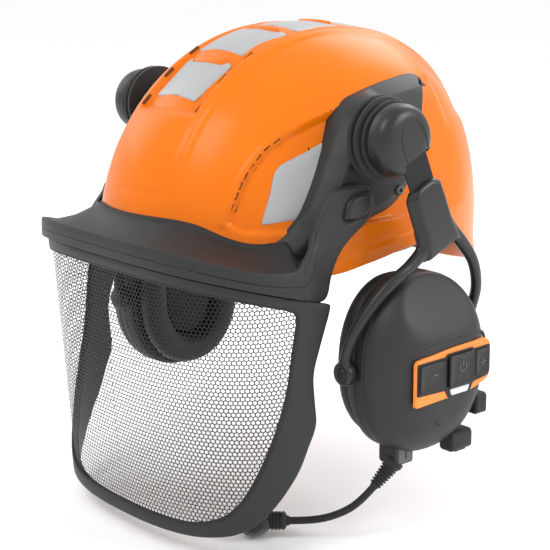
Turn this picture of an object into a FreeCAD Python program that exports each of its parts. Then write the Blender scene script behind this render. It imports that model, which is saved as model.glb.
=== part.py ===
import FreeCAD, Part
import math
import os
import Sketcher
from FreeCAD import Matrix, Placement, Rotation, Vector

# Forestry helmet: shell with harness, lifting mesh visor with its peak, and two hinged ear muffs.
# Millimetres. +Z is up, the wearer looks along -Y, and the wearer's left is +X.
# The origin is the middle of the head opening, level with the lower edge of the shell's sides.

SIZES = {
    "shell_half_width": 108, "shell_half_length": 146, "shell_height": 142, "shell_center_y": -1.5,
    "shell_wall": 3, "shell_skirt": 60,
    "reflector_thickness": 0.5, "top_reflector_width": 46,
    "plate_back_x": 58, "plate_outer_x": 108, "plate_boss_radius": 20,
    "visor_pivot_y": -45, "visor_pivot_z": 36, "visor_pin_radius": 4,
    "muff_axis_y": -33, "muff_axis_z": 78, "muff_pin_radius": 7, "running_gap": 0.06,
    "brim_half_width": 118, "brim_depth": 113, "brim_center_y": -56, "brim_wall": 5,
    "seal_thickness": 1.5,
    "frame_half_width": 115.5, "frame_wall": 5, "frame_top_depth": 110, "frame_bottom_depth": 81,
    "frame_bottom_center_y": -73, "screen_thickness": 0.8, "screen_depth": 1.8,
    "visor_arm_inner_x": 108.5, "visor_arm_outer_x": 113, "visor_button_outer_x": 117,
    "band_half_width": 82, "band_half_length": 102, "band_thickness": 2,
    "band_bottom_z": -10, "band_height": 28,
    "nape_center_y": 24, "nape_rack_radius": 78.2, "rack_thickness": 1.6, "rack_height": 6,
    "ratchet_z": -8, "pinion_radius": 5.3, "knob_radius": 16, "knob_depth": 11,
    "strap_x": 138, "strap_thickness": 1.6, "strap_width": 22, "strap_length": 62,
    "yoke_thickness": 8, "yoke_width": 32,
    "cup_half_width": 49, "cup_half_height": 59, "cup_center_y": -12, "cup_center_z": -67,
    "cup_inner_x": 116, "cup_outer_x": 132, "cup_wall": 2.5,
    "cover_outer_x": 158.5, "face_center_y": -7,
    "cushion_inner_x": 98.5, "cushion_half_width": 45, "cushion_half_height": 56,
    "ear_half_width": 22, "ear_half_height": 33,
    "fork_axis_x": 122, "fork_pin_radius": 3.5, "fork_boss_radius": 8,
    "panel_back_x": 156.5, "panel_front_x": 159.5, "button_gap": 0.4,
    "boom_diameter": 5,
}

X_AXIS = Vector(1, 0, 0)
Y_AXIS = Vector(0, 1, 0)
Z_AXIS = Vector(0, 0, 1)
# Turns a flat outline so that its first coordinate runs along Y and its second along Z.
SIDE_VIEW = Rotation(Vector(1, 1, 1), 120)
# Turns an upright axis so that it points along +X or +Y.
ALONG_X = Rotation(Y_AXIS, 90)
ALONG_Y = Rotation(X_AXIS, -90)
STRAP_LEAN = 23                     # the muff's strap leans back by this many degrees
STRAP_TOP = Vector(0, -24.5, 66)    # where the strap leaves the pivot cap, in side view
STRAP_DOWN = Vector(0, math.sin(math.radians(STRAP_LEAN)), -math.cos(math.radians(STRAP_LEAN)))
STRAP_ACROSS = Vector(0, -STRAP_DOWN.z, STRAP_DOWN.y)
FACE_MIDDLE_Z = -69                 # height of the row of buttons on the left cup
SHELL_POWER = 2.15                  # a power of 2 would make the shell's form a plain ellipse
BRIM_POWER = 3.2                    # the same for the peak's outline, which is squarer
FRAME_BOTTOM_POWER = 2.4            # and for the visor wall's lower outline
VISOR_PIN_START_X = 102             # the visor's pins stop just short of the shell
ARM_OUTLINE = [(-35, 46), (-45, 49), (-70, 49), (-80, 33), (-89, 14), (-98, 4), (-98, -15.6), (-76, -21.8),
               (-67, 3), (-55, 16), (-37, 25), (-31.5, 36)]
FAR = 400                           # longer than the helmet, for cutting tools

os.makedirs("parts", exist_ok=True)
doc = FreeCAD.newDocument("forestry_helmet")
sheet = doc.addObject("Spreadsheet::Sheet", "sizes")
for row, (alias, value) in enumerate(SIZES.items(), start=1):
    sheet.set(f"A{row}", alias)
    sheet.set(f"B{row}", str(value))
    sheet.setAlias(f"B{row}", alias)
doc.recompute()

nodes = {}


def size(alias):
    return float(sheet.get(alias))


def publish(name, thing):
    """Make an object one of the helmet's sub-parts, under its own label."""
    thing.Label = name
    nodes[name] = thing
    return thing


def bind(thing, **expressions):
    for prop, expression in expressions.items():
        thing.setExpression(prop.replace("__", "."), expression)
    return thing


def feature(name, shape):
    """A piece whose shape comes from curves that the workbenches' own objects can't hold."""
    thing = doc.addObject("Part::Feature", name)
    thing.Shape = shape
    return thing


def cut(name, base, *tools):
    for number, tool in enumerate(tools):
        result = doc.addObject("Part::Cut", f"{name}_cut_{number}")
        result.Base = base
        result.Tool = tool
        result.Refine = False
        base = result
    return base


def fuse(name, *pieces):
    result = doc.addObject("Part::MultiFuse", name)
    result.Shapes = list(pieces)
    return result


def common(name, *pieces):
    result = doc.addObject("Part::MultiCommon", name)
    result.Shapes = list(pieces)
    return result


def mirrored(name, source):
    result = doc.addObject("Part::Mirroring", name)
    result.Source = source
    result.Normal = X_AXIS
    return publish(name, result)


def group(name, *pieces):
    result = doc.addObject("Part::Compound", name)
    result.Links = list(pieces)
    return result


def cylinder(name, radius, length, place, turn):
    result = doc.addObject("Part::Cylinder", name)
    result.Placement = Placement(place, turn)
    return bind(result, Radius=radius, Height=length)


def box(name, low, high):
    result = doc.addObject("Part::Box", name)
    result.Length, result.Width, result.Height = high - low
    result.Placement = Placement(low, Rotation())
    return result


def side_prism(name, outline, start, length):
    """A plate cut to an outline in side view (y, z); start and length along X are expressions."""
    sketch = doc.addObject("Sketcher::SketchObject", name + "_outline")
    corners = [Vector(y, z, 0) for y, z in outline]
    for here, there in zip(corners, corners[1:] + corners[:1]):
        sketch.addGeometry(Part.LineSegment(here, there), False)
    sketch.Placement = Placement(Vector(), SIDE_VIEW)
    bind(sketch, Placement__Base__x=start)
    result = doc.addObject("Part::Extrusion", name)
    result.Base = sketch
    result.DirMode = "Custom"
    result.Dir = X_AXIS
    result.Solid = True
    return bind(result, LengthFwd=length)


def oval(name, half_width, half_height, x, center_y, center_z):
    """An upright oval outline facing +X; sizes and place are expressions."""
    result = doc.addObject("Part::Ellipse", name)
    result.MajorRadius = FAR
    bind(result, MajorRadius=half_height, MinorRadius=half_width, Placement__Base__x=x,
         Placement__Base__y=center_y, Placement__Base__z=center_z)
    result.Placement = Placement(Vector(), Rotation(Z_AXIS, Y_AXIS * -1, X_AXIS, "ZXY"))
    bind(result, Placement__Base__x=x, Placement__Base__y=center_y, Placement__Base__z=center_z)
    return result


def oval_prism(name, half_width, half_height, x, length, center_y, center_z):
    result = doc.addObject("Part::Extrusion", name)
    result.Base = oval(name + "_outline", half_width, half_height, x, center_y, center_z)
    result.DirMode = "Custom"
    result.Dir = X_AXIS
    result.Solid = True
    return bind(result, LengthFwd=length)


def oval_loft(name, sections):
    result = doc.addObject("Part::Loft", name)
    result.Sections = [oval(f"{name}_section_{i}", *row) for i, row in enumerate(sections)]
    result.Solid = True
    return result


def turned_body(name, profile, place, turn):
    """A PartDesign body turned from a profile of (radius, height) points about its upright axis."""
    body = doc.addObject("PartDesign::Body", name)
    plane = next(f for f in body.Origin.OriginFeatures if f.Role == "XZ_Plane")
    sketch = body.newObject("Sketcher::SketchObject", name + "_profile")
    sketch.AttachmentSupport = (plane, "")
    sketch.MapMode = "FlatFace"
    corners = [Vector(r, h, 0) for r, h in profile]
    for here, there in zip(corners, corners[1:] + corners[:1]):
        sketch.addGeometry(Part.LineSegment(here, there), False)
    turning = body.newObject("PartDesign::Revolution", name + "_turning")
    turning.Profile = sketch
    turning.ReferenceAxis = (sketch, ["V_Axis"])
    turning.Angle = 360
    body.Placement = Placement(place, turn)
    return body


def dome(offset):
    """The shell's outer form grown by an offset: a domed top over a straight oval skirt."""
    radius = size("shell_half_length") + offset
    top = size("shell_height") + offset
    power = 2 / SHELL_POWER
    points = []
    for step in range(13):
        angle = math.radians(90 * step / 12)
        points.append(Vector(radius * math.cos(angle) ** power, 0, top * math.sin(angle) ** power))
    points[-1] = Vector(0, 0, top)
    curve = Part.BSplineCurve()
    curve.interpolate(Points=points, InitialTangent=Z_AXIS, FinalTangent=Vector(-1, 0, 0))
    floor = -size("shell_skirt")
    corners = [Vector(0, 0, top), Vector(0, 0, floor), Vector(radius, 0, floor), points[0]]
    edges = [curve.toShape()] + [Part.makeLine(a, b) for a, b in zip(corners, corners[1:])]
    solid = Part.Face(Part.Wire(edges)).revolve(Vector(), Z_AXIS, 360)
    squeeze = Matrix()
    squeeze.A11 = (size("shell_half_width") + offset) / radius
    squeeze.A24 = size("shell_center_y")
    return solid.transformGeometry(squeeze)


def front_outline(half_width, depth, center_y, power, z, back_y):
    """A flat wire: a full front curve from side to side, closed by a straight back."""
    points = []
    for step in range(-10, 11):
        angle = math.radians(9 * step)
        across = math.copysign(abs(math.sin(angle)) ** (2 / power), step)
        points.append(Vector(half_width * across, center_y - depth * math.cos(angle) ** (2 / power), z))
    points[0] = Vector(-half_width, center_y, z)
    points[-1] = Vector(half_width, center_y, z)
    curve = Part.BSplineCurve()
    back = Vector(0, 1, 0)
    curve.interpolate(Points=points, InitialTangent=back * -1, FinalTangent=back)
    corners = [points[-1], Vector(half_width, back_y, z), Vector(-half_width, back_y, z), points[0]]
    return Part.Wire([curve.toShape()] + [Part.makeLine(a, b) for a, b in zip(corners, corners[1:])])


def slab(outline, length):
    return Part.Face(outline).extrude(Vector(0, 0, length))


def flat_oval(across, along):
    """A flat oval wire of two half widths, across on X and along on Y."""
    major, minor = Vector(across, 0, 0), Vector(0, along, 0)
    if along > across:
        major, minor = minor, major
    return Part.Wire(Part.Ellipse(major, minor, Vector()).toShape())


def ribbon(sections):
    """A bar lofted through four-cornered sections: (middle, half width vector, half thickness)."""
    wires = []
    for middle, wide, thick in sections:
        corners = [middle + wide + thick, middle - wide + thick, middle - wide - thick,
                   middle + wide - thick]
        wires.append(Part.makePolygon(corners + corners[:1]))
    bar = Part.makeLoft(wires, True, True)
    if bar.Volume < 0:
        bar.reverse()
    return bar


# Shell, with the lower edge that dips at the temples and drops over the nape.
def build_shell():
    rim = [(-170, 12), (-120, -2), (-64, -9), (-30, -4), (0, 1.4), (30, 4), (60, -2), (100, -22),
           (142, -43), (170, -48)]
    curve = Part.BSplineCurve()
    curve.interpolate([Vector(0, y, z) for y, z in rim])
    low = Vector(0, rim[0][0], -FAR)
    corners = [Vector(0, *rim[-1]), Vector(0, rim[-1][0], -FAR), low, Vector(0, *rim[0])]
    edges = [curve.toShape()] + [Part.makeLine(a, b) for a, b in zip(corners, corners[1:])]
    below = Part.Face(Part.Wire(edges)).extrude(Vector(2 * FAR, 0, 0))
    below.translate(Vector(-FAR, 0, 0))
    outer = feature("shell_outside", dome(0))
    inner = feature("shell_inside", dome(-size("shell_wall")))
    return publish("shell", cut("shell", outer, inner, feature("shell_rim", below)))


def build_reflectors():
    outside = feature("reflector_outside", dome(size("reflector_thickness")))
    base = feature("reflector_base", dome(0))
    skin = cut("reflector_skin", outside, base)
    half = size("top_reflector_width") / 2
    fields = []
    for number, (front, back) in enumerate([(-98, -70), (-62, -28), (-20, 28), (38, 84)]):
        field = box(f"top_field_{number}", Vector(-half, front, 70), Vector(half, back, 160))
        fields.append(common(f"top_reflector_{number}", skin, field))
    publish("top_reflectors", group("top_reflectors", *fields))
    outline = [(-116, 33), (-90, 66), (-60, 76), (-79, 33)]
    field = side_prism("side_field", outline, "sizes.shell_half_width / 2", "sizes.shell_half_width")
    left = publish("side_reflector_left", common("side_reflector_left", skin, field))
    mirrored("side_reflector_right", left)


# Side plates carry the visor's pins and the muffs' pins, and are screwed to the shell.
def build_side_plates():
    outline = [(44, 104), (30, 109), (0, 107), (-30, 98), (-42, 90), (-55, 70), (-68, 46), (-78, 27),
               (-88, 16), (-78, 11), (-50, 14), (-31, 26), (-12, 28), (0, 37), (12, 50), (20, 63),
               (24, 80), (40, 97)]
    field = side_prism("plate_field", outline, "sizes.plate_back_x",
                       "sizes.plate_outer_x - sizes.plate_back_x")
    lean = [Vector(130, -150, 70), Vector(108.5, -150, 70), Vector(84, -150, 112), Vector(130, -150, 112)]
    wedge = Part.Face(Part.makePolygon(lean + lean[:1])).extrude(Vector(0, 300, 0))
    hugging = cut("plate_hugging", field, feature("plate_lean", wedge))
    boss = cylinder("plate_boss", "sizes.plate_boss_radius", "sizes.plate_outer_x - 60",
                    Vector(60, size("muff_axis_y"), size("muff_axis_z")), ALONG_X)
    blank = fuse("plate_blank", hugging, boss)
    seat = feature("plate_seat", dome(0))
    visor_bore = cylinder("plate_visor_bore", "sizes.visor_pin_radius + sizes.running_gap", "40",
                          Vector(80, size("visor_pivot_y"), size("visor_pivot_z")), ALONG_X)
    muff_bore = cylinder("plate_muff_bore", "sizes.muff_pin_radius + sizes.running_gap", "40",
                         Vector(80, size("muff_axis_y"), size("muff_axis_z")), ALONG_X)
    left = publish("side_plate_left", cut("side_plate_left", blank, seat, visor_bore, muff_bore))
    mirrored("side_plate_right", left)
    profile = [(0, 0), (3.5, 0), (3.5, 1.2), (2.2, 2.4), (0, 2.4)]
    places = [(-6, 40), (10, 56)]
    screws = []
    for number, (y, z) in enumerate(places):
        place = Vector(size("plate_outer_x"), y, z)
        screw = turned_body(f"screw_{number}", profile, place, ALONG_X)
        other = doc.addObject("Part::Mirroring", f"screw_{number}_right")
        other.Source = screw
        other.Normal = X_AXIS
        screws += [screw, other]
    publish("plate_screws", group("plate_screws", *screws))


# Head harness: three webbing straps over the crown, an oval band, and the nape ratchet.
def build_harness():
    top, thick, half, lowest = 112, 1.2, 10, 4
    straps = []
    clips = []
    for number, heading in enumerate((0, 60, 120)):
        turn = math.radians(heading)
        rise = top - number * (thick + 0.1)
        wide = size("shell_half_width") - 11
        deep = size("shell_half_length") - 11
        reach = 1 / math.hypot(math.cos(turn) / wide, math.sin(turn) / deep)
        outer = slab(flat_oval(reach, rise), 2 * half)
        inner = slab(flat_oval(reach - thick, rise - thick), 2 * half)
        band = outer.cut(inner)
        band.Placement = Placement(Vector(0, half, 0), Rotation(X_AXIS, 90))
        band = band.common(Part.makeBox(FAR, FAR, FAR, Vector(-FAR / 2, -FAR / 2, lowest)))
        band.rotate(Vector(), Z_AXIS, heading)
        straps.append(band)
        for side in (0, 180):
            clip = Part.makeBox(3, 16, 14, Vector(reach + 0.4, -8, lowest - 2))
            clip.rotate(Vector(), Z_AXIS, heading + side)
            clips.append(clip)
    publish("crown_webbing", feature("crown_webbing", Part.makeCompound(straps)))
    publish("webbing_clips", feature("webbing_clips", Part.makeCompound(clips)))

    def band_slab(name, inset, start, length):
        result = doc.addObject("Part::Extrusion", name)
        ring = doc.addObject("Part::Ellipse", name + "_outline")
        ring.MajorRadius = FAR
        ring.Placement = Placement(Vector(), Rotation(Z_AXIS, 90))
        bind(ring, MajorRadius=f"sizes.band_half_length - {inset}",
             MinorRadius=f"sizes.band_half_width - {inset}", Placement__Base__z=start)
        result.Base = ring
        result.DirMode = "Custom"
        result.Dir = Z_AXIS
        result.Solid = True
        return bind(result, LengthFwd=length)

    start, length = "sizes.band_bottom_z", "sizes.band_height"
    rear_gap = box("band_gap", Vector(-50, 60, -60), Vector(50, 130, 60))
    outer = band_slab("band_outside", 0, start, length)
    inner = band_slab("band_inside", 2, start, length)
    publish("headband", cut("headband", outer, inner, rear_gap))
    pad = band_slab("sweatband_outside", 2.1, start + " + 1", length + " - 2")
    hollow = band_slab("sweatband_inside", 5, start, length)
    behind = box("sweatband_back", Vector(-FAR, -30, -FAR), Vector(FAR, FAR, FAR))
    publish("sweatband", cut("sweatband", pad, hollow, behind))


def nape_arc(low_radius, high_radius, low_z, high_z, from_angle, to_angle):
    """A piece of a tube about the nape's upright axis; angles run from the rear towards the left."""
    center = Vector(0, size("nape_center_y"), low_z)
    sweep = to_angle - from_angle
    outer = Part.makeCylinder(high_radius, high_z - low_z, center, Z_AXIS, sweep)
    inner = Part.makeCylinder(low_radius, high_z - low_z, center, Z_AXIS, sweep)
    piece = outer.cut(inner)
    piece.rotate(center, Z_AXIS, 90 - to_angle)
    return piece


def build_ratchet():
    level = size("ratchet_z")
    radius = size("nape_rack_radius")
    back = size("nape_center_y")
    tall = size("rack_height")
    gap = size("pinion_radius") + 0.3
    case = nape_arc(radius - 4, radius + 6, level - 18, level + 18, -26, 26)
    slot = nape_arc(radius - 0.6, radius + 2.2, level - gap - tall - 0.6, level + gap + tall + 0.6, -40, 40)
    bore = Part.makeCylinder(3.06, 30, Vector(0, back + radius, level), Y_AXIS)
    case_shape = case.cut([slot, bore])
    publish("ratchet_housing", feature("ratchet_housing", case_shape))
    pad = nape_arc(radius - 8, radius - 4.1, level - 16, level + 16, -25, 25)
    publish("nape_pad", feature("nape_pad", pad))
    thick = size("rack_thickness")
    left = nape_arc(radius, radius + thick, level + gap, level + gap + tall, -10, 48)
    right = nape_arc(radius, radius + thick, level - gap - tall, level - gap, -48, 10)
    publish("rack_left", feature("rack_left", left))
    publish("rack_right", feature("rack_right", right))
    face = back + radius + 6.6
    pinion = turned_body("ratchet_pinion", [(0, 0), (size("pinion_radius"), 0), (size("pinion_radius"), 1.9),
                                            (3, 1.9), (3, 6.8), (0, 6.8)],
                         Vector(0, back + radius - 0.2, level), ALONG_Y)
    publish("ratchet_pinion", pinion)
    return build_knob(face, level)


def build_knob(face, level):
    """The nape knob: a padded disc with finger scallops cut round its edge."""
    body = doc.addObject("PartDesign::Body", "ratchet_knob")
    plane = next(f for f in body.Origin.OriginFeatures if f.Role == "XY_Plane")
    disc = body.newObject("Sketcher::SketchObject", "knob_disc")
    disc.AttachmentSupport = (plane, "")
    disc.MapMode = "FlatFace"
    disc.addGeometry(Part.Circle(Vector(), Z_AXIS, size("knob_radius")), False)
    disc.addConstraint(Sketcher.Constraint("Coincident", 0, 3, -1, 1))
    disc.addConstraint(Sketcher.Constraint("Radius", 0, size("knob_radius")))
    disc.setExpression("Constraints[1]", "sizes.knob_radius")
    pad = body.newObject("PartDesign::Pad", "knob_pad")
    pad.Profile = disc
    bind(pad, Length="sizes.knob_depth")
    notch = body.newObject("Sketcher::SketchObject", "knob_notch")
    notch.AttachmentSupport = (plane, "")
    notch.MapMode = "FlatFace"
    notch.addGeometry(Part.Circle(Vector(size("knob_radius") + 1, 0, 0), Z_AXIS, 2.6), False)
    scallop = body.newObject("PartDesign::Pocket", "knob_scallop")
    scallop.Profile = notch
    scallop.Type = "ThroughAll"
    scallop.Reversed = True
    doc.recompute()
    pattern = body.newObject("PartDesign::PolarPattern", "knob_scallops")
    pattern.Originals = [scallop]
    pattern.Axis = (disc, ["N_Axis"])
    pattern.Angle = 360
    pattern.Occurrences = 14
    body.Tip = pattern
    body.Placement = Placement(Vector(0, face, level), ALONG_Y)
    return publish("ratchet_knob", body)


# Visor: a peak that hugs the shell's front, and below it a wall with a window for the mesh.
def joint_line(y):
    """Height of the seam between the peak and the frame below it."""
    return 3.4 - 0.28 * (y + 166)


def build_peak():
    half, depth = size("brim_half_width"), size("brim_depth")
    middle, wall = size("brim_center_y"), size("brim_wall")
    back, bottom, height = -78, -60, 120
    outer = slab(front_outline(half, depth, middle, BRIM_POWER, bottom, back), height)
    inner = slab(front_outline(half - wall, depth - wall, middle, BRIM_POWER, bottom, back + 5), height)
    top = [(-175, 18), (-169, 18), (-150, 27), (-140, 24), (-127, 17), (-112, 13), (-94, 13), (-78, 17)]
    under = [(-78, joint_line(-78)), (-175, joint_line(-175))]
    skin = 4
    profile = side_prism("peak_profile", top + under, f"-{FAR / 2}", str(FAR))
    lowered = [(y, z - skin) for y, z in top] + [(-78, -70), (-175, -70)]
    hollow_profile = side_prism("peak_hollow_profile", lowered, f"-{FAR / 2}", str(FAR))
    hollow = common("peak_hollow", feature("peak_inner", inner), hollow_profile)
    solid = common("peak_solid", feature("peak_outer", outer), profile)
    clearance = size("seal_thickness") + 1
    opening = feature("peak_opening", dome(clearance))
    reach = 2 * size("visor_arm_inner_x")
    swing = cylinder("peak_swing", "66", str(reach),
                     Vector(-reach / 2, size("visor_pivot_y"), size("visor_pivot_z")), ALONG_X)
    arm_reach = size("visor_arm_outer_x") + 0.2
    arm_front_y = min(y for y, z in ARM_OUTLINE) - 0.3
    notch = box("peak_arm_notch", Vector(-arm_reach, arm_front_y, bottom),
                Vector(arm_reach, back + 20, height))
    publish("visor_peak", cut("visor_peak_solid", solid, hollow, opening, swing, notch))
    rise = [(-175, 32), (-150, 32), (-140, 28), (-127, 21), (-112, 16), (-104, 15), (-104, 5), (-112, 5),
            (-127, 9), (-140, 16), (-150, 19), (-175, 19)]
    strip = side_prism("seal_profile", rise, f"-{FAR / 2}", str(FAR))
    outside = feature("seal_outside", dome(clearance - 0.1))
    inside = feature("seal_inside", dome(0.9))
    publish("peak_seal", cut("peak_seal", common("seal_strip", outside, strip), inside,
                             doc.getObject("peak_swing")))


def frame_wall(inset, back):
    """The visor wall's form, drawn in by an inset, between its top and bottom outlines."""
    half = size("frame_half_width") - inset
    top = front_outline(half, size("frame_top_depth") - inset, size("brim_center_y"), BRIM_POWER, 12, back)
    bottom = front_outline(half, size("frame_bottom_depth") - inset, size("frame_bottom_center_y"),
                           FRAME_BOTTOM_POWER, -180, back)
    return Part.makeLoft([top, bottom], True, True)


def build_visor_wall():
    rear = [(-72, joint_line(-72)), (-74, -30), (-83, -51), (-86, -73), (-84, -99), (-96, -126),
            (-104, -138), (-120, -160), (-137, -170.5), (-180, -172.5)]
    front_top = (-180, joint_line(-180))
    window = [(-180, joint_line(-180) - 7), (-97, joint_line(-97) - 7), (-101, -47), (-105, -75),
              (-113, -103), (-122, -128), (-131, -150), (-141, -162), (-180, -165)]
    sheet_edge = [(-180, joint_line(-180) - 5), (-95, joint_line(-95) - 5), (-99, -47), (-103, -75),
                  (-111, -104), (-120, -129), (-129, -152), (-140, -164), (-180, -167)]
    wall, inset, thin = size("frame_wall"), size("screen_depth"), size("screen_thickness")
    across = (f"-{FAR / 2}", str(FAR))
    outside = feature("frame_outside", frame_wall(0, -50))
    inside = feature("frame_inside", frame_wall(wall, -40))
    blank = common("frame_blank", outside, side_prism("frame_profile", [front_top] + rear, *across))
    screen_skin = cut("screen_skin", feature("screen_outside", frame_wall(inset, -50)),
                      feature("screen_inside", frame_wall(inset + thin, -40)))
    screen = common("visor_screen", screen_skin, side_prism("screen_profile", sheet_edge, *across))
    publish("visor_screen", screen)
    hole = side_prism("frame_window", window, *across)
    publish("visor_frame", cut("visor_frame", blank, inside, hole, screen))


def build_visor_arms():
    button = [(-59, 39), (-52, 44.5), (-38, 44.5), (-36, 40), (-38.5, 30), (-55, 26), (-62, 28.5)]
    middle = Vector(-48.5, 36, 0)
    pocket = []
    for y, z in button:
        out = Vector(y, z, 0) - middle
        grown = middle + out * ((out.Length + 0.7) / out.Length)
        pocket.append((grown.x, grown.y))
    width = "sizes.visor_arm_outer_x - sizes.visor_arm_inner_x"
    blank = side_prism("arm_blank", ARM_OUTLINE, "sizes.visor_arm_inner_x", width)
    recess = side_prism("arm_recess", pocket, "sizes.visor_arm_inner_x + 1.1", "20")
    left = publish("visor_arm_left", cut("visor_arm_left", blank, recess))
    mirrored("visor_arm_right", left)
    key = side_prism("visor_button_left", button, "sizes.visor_arm_inner_x + 3.4",
                     "sizes.visor_button_outer_x - sizes.visor_arm_inner_x - 3.4")
    mirrored("visor_button_right", publish("visor_button_left", key))
    left_pin = cylinder("visor_pin", "sizes.visor_pin_radius",
                        f"sizes.visor_arm_inner_x - {VISOR_PIN_START_X}",
                        Vector(VISOR_PIN_START_X, size("visor_pivot_y"), size("visor_pivot_z")), ALONG_X)
    right_pin = doc.addObject("Part::Mirroring", "visor_pin_right")
    right_pin.Source = left_pin
    right_pin.Normal = X_AXIS
    publish("visor_pivot_pins", group("visor_pivot_pins", left_pin, right_pin))


# Ear muffs: a ribbed swivel, a cap, a sprung strap, a forked yoke and the cup.
def build_swivel():
    pin, gap = size("muff_pin_radius"), 5.5
    profile = [(0, -8), (pin, -8), (pin, gap), (26.5, gap), (26.5, 8.5), (24.5, 9.5), (24.5, 11), (26, 12),
               (26, 14.5), (22.5, 15.5), (22.5, 17), (24, 18), (24, 19), (0, 19)]
    place = Vector(size("plate_outer_x"), size("muff_axis_y"), size("muff_axis_z"))
    base = publish("muff_base_left", turned_body("muff_base_left", profile, place, ALONG_X))
    mirrored("muff_base_right", base)
    cap_profile = [(0, 19.1), (22, 19.1), (22.5, 22), (22, 30), (18, 34.5), (12, 35.5), (0, 35.5)]
    blank = turned_body("cap_blank", cap_profile, place, ALONG_X)
    slot = feature("cap_slot", ribbon(strap_sections(-4, 26, size("strap_width") / 2 + 2, 4.2)))
    cap = publish("muff_cap_left", cut("muff_cap_left", blank, slot))
    mirrored("muff_cap_right", cap)


def strap_point(distance):
    return Vector(size("strap_x"), STRAP_TOP.y, STRAP_TOP.z) + STRAP_DOWN * distance


def strap_sections(start, end, half_width, half_thickness):
    wide = STRAP_ACROSS * half_width
    thick = X_AXIS * half_thickness
    return [(strap_point(start), wide, thick), (strap_point(end), wide, thick)]


def build_yoke():
    half_thick = size("strap_thickness") / 2
    half_wide = size("strap_width") / 2
    strap = feature("spring_strap_left", ribbon(strap_sections(-2, size("strap_length") - 2, half_wide,
                                                               half_thick)))
    mirrored("spring_strap_right", publish("spring_strap_left", strap))
    half = size("yoke_width") / 2
    deep = size("yoke_thickness") / 2
    stem = ribbon([(strap_point(20), STRAP_ACROSS * (half - 1), X_AXIS * deep),
                   (strap_point(60), STRAP_ACROSS * half, X_AXIS * deep),
                   (strap_point(70), STRAP_ACROSS * (half + 2), X_AXIS * deep)])
    across, depth = 4.2, 4
    front = [Vector(138, -9, 7), Vector(137.5, -31, -5.5), Vector(134, -50, -19.5), Vector(127, -62.5, -39),
             Vector(122, -66.6, -56), Vector(122, -66.6, -70)]
    rear = [Vector(138, 12, 9), Vector(137, 32, -11), Vector(133, 43, -28), Vector(126, 45.5, -44),
            Vector(122, 42.6, -58), Vector(122, 42.6, -70)]
    arms = []
    for line in (front, rear):
        sections = []
        for here, point in enumerate(line):
            before = line[max(here - 1, 0)]
            after = line[min(here + 1, len(line) - 1)]
            run = (after - before).normalize()
            wide = run.cross(X_AXIS).normalize()
            sections.append((point, wide * across, run.cross(wide).normalize() * depth))
        arms.append(ribbon(sections))
    channel = ribbon(strap_sections(10, 65, half_wide + 0.4, half_thick + 0.4))
    fork_x, fork_z = size("fork_axis_x"), size("cup_center_z")
    bosses = []
    for low, high in ((-71, -62.2), (38.2, 47)):
        bosses.append(Part.makeCylinder(size("fork_boss_radius"), high - low, Vector(fork_x, low, fork_z),
                                        Y_AXIS))
    for low, high in ((-63, -56.5), (32.5, 39)):
        bosses.append(Part.makeCylinder(size("fork_pin_radius"), high - low, Vector(fork_x, low, fork_z),
                                        Y_AXIS))
    shape = stem
    for piece in arms + bosses:
        shape = shape.fuse(piece)
    yoke = publish("yoke_left", feature("yoke_left", shape.cut(channel)))
    mirrored("yoke_right", yoke)


def cover_sections(inset):
    """The cup cover's ovals from its seam outwards, drawn in by an inset."""
    middle, face = "sizes.cup_center_y", "sizes.face_center_y"
    rows = []
    for drawn_in, x, y in ((0, "sizes.cup_outer_x", middle), (1.5, "sizes.cover_outer_x - 12.5", "-8.5"),
                           (6.5, "sizes.cover_outer_x - 4.5", face), (12.5, "sizes.cover_outer_x", face)):
        total = drawn_in + inset
        rows.append((f"sizes.cup_half_width - {total}", f"sizes.cup_half_height - {total}", x, y,
                     "sizes.cup_center_z - 1"))
    if inset:
        last = list(rows[-1])
        last[2] = f"sizes.cover_outer_x - {inset}"
        rows[-1] = tuple(last)
    return rows


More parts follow.
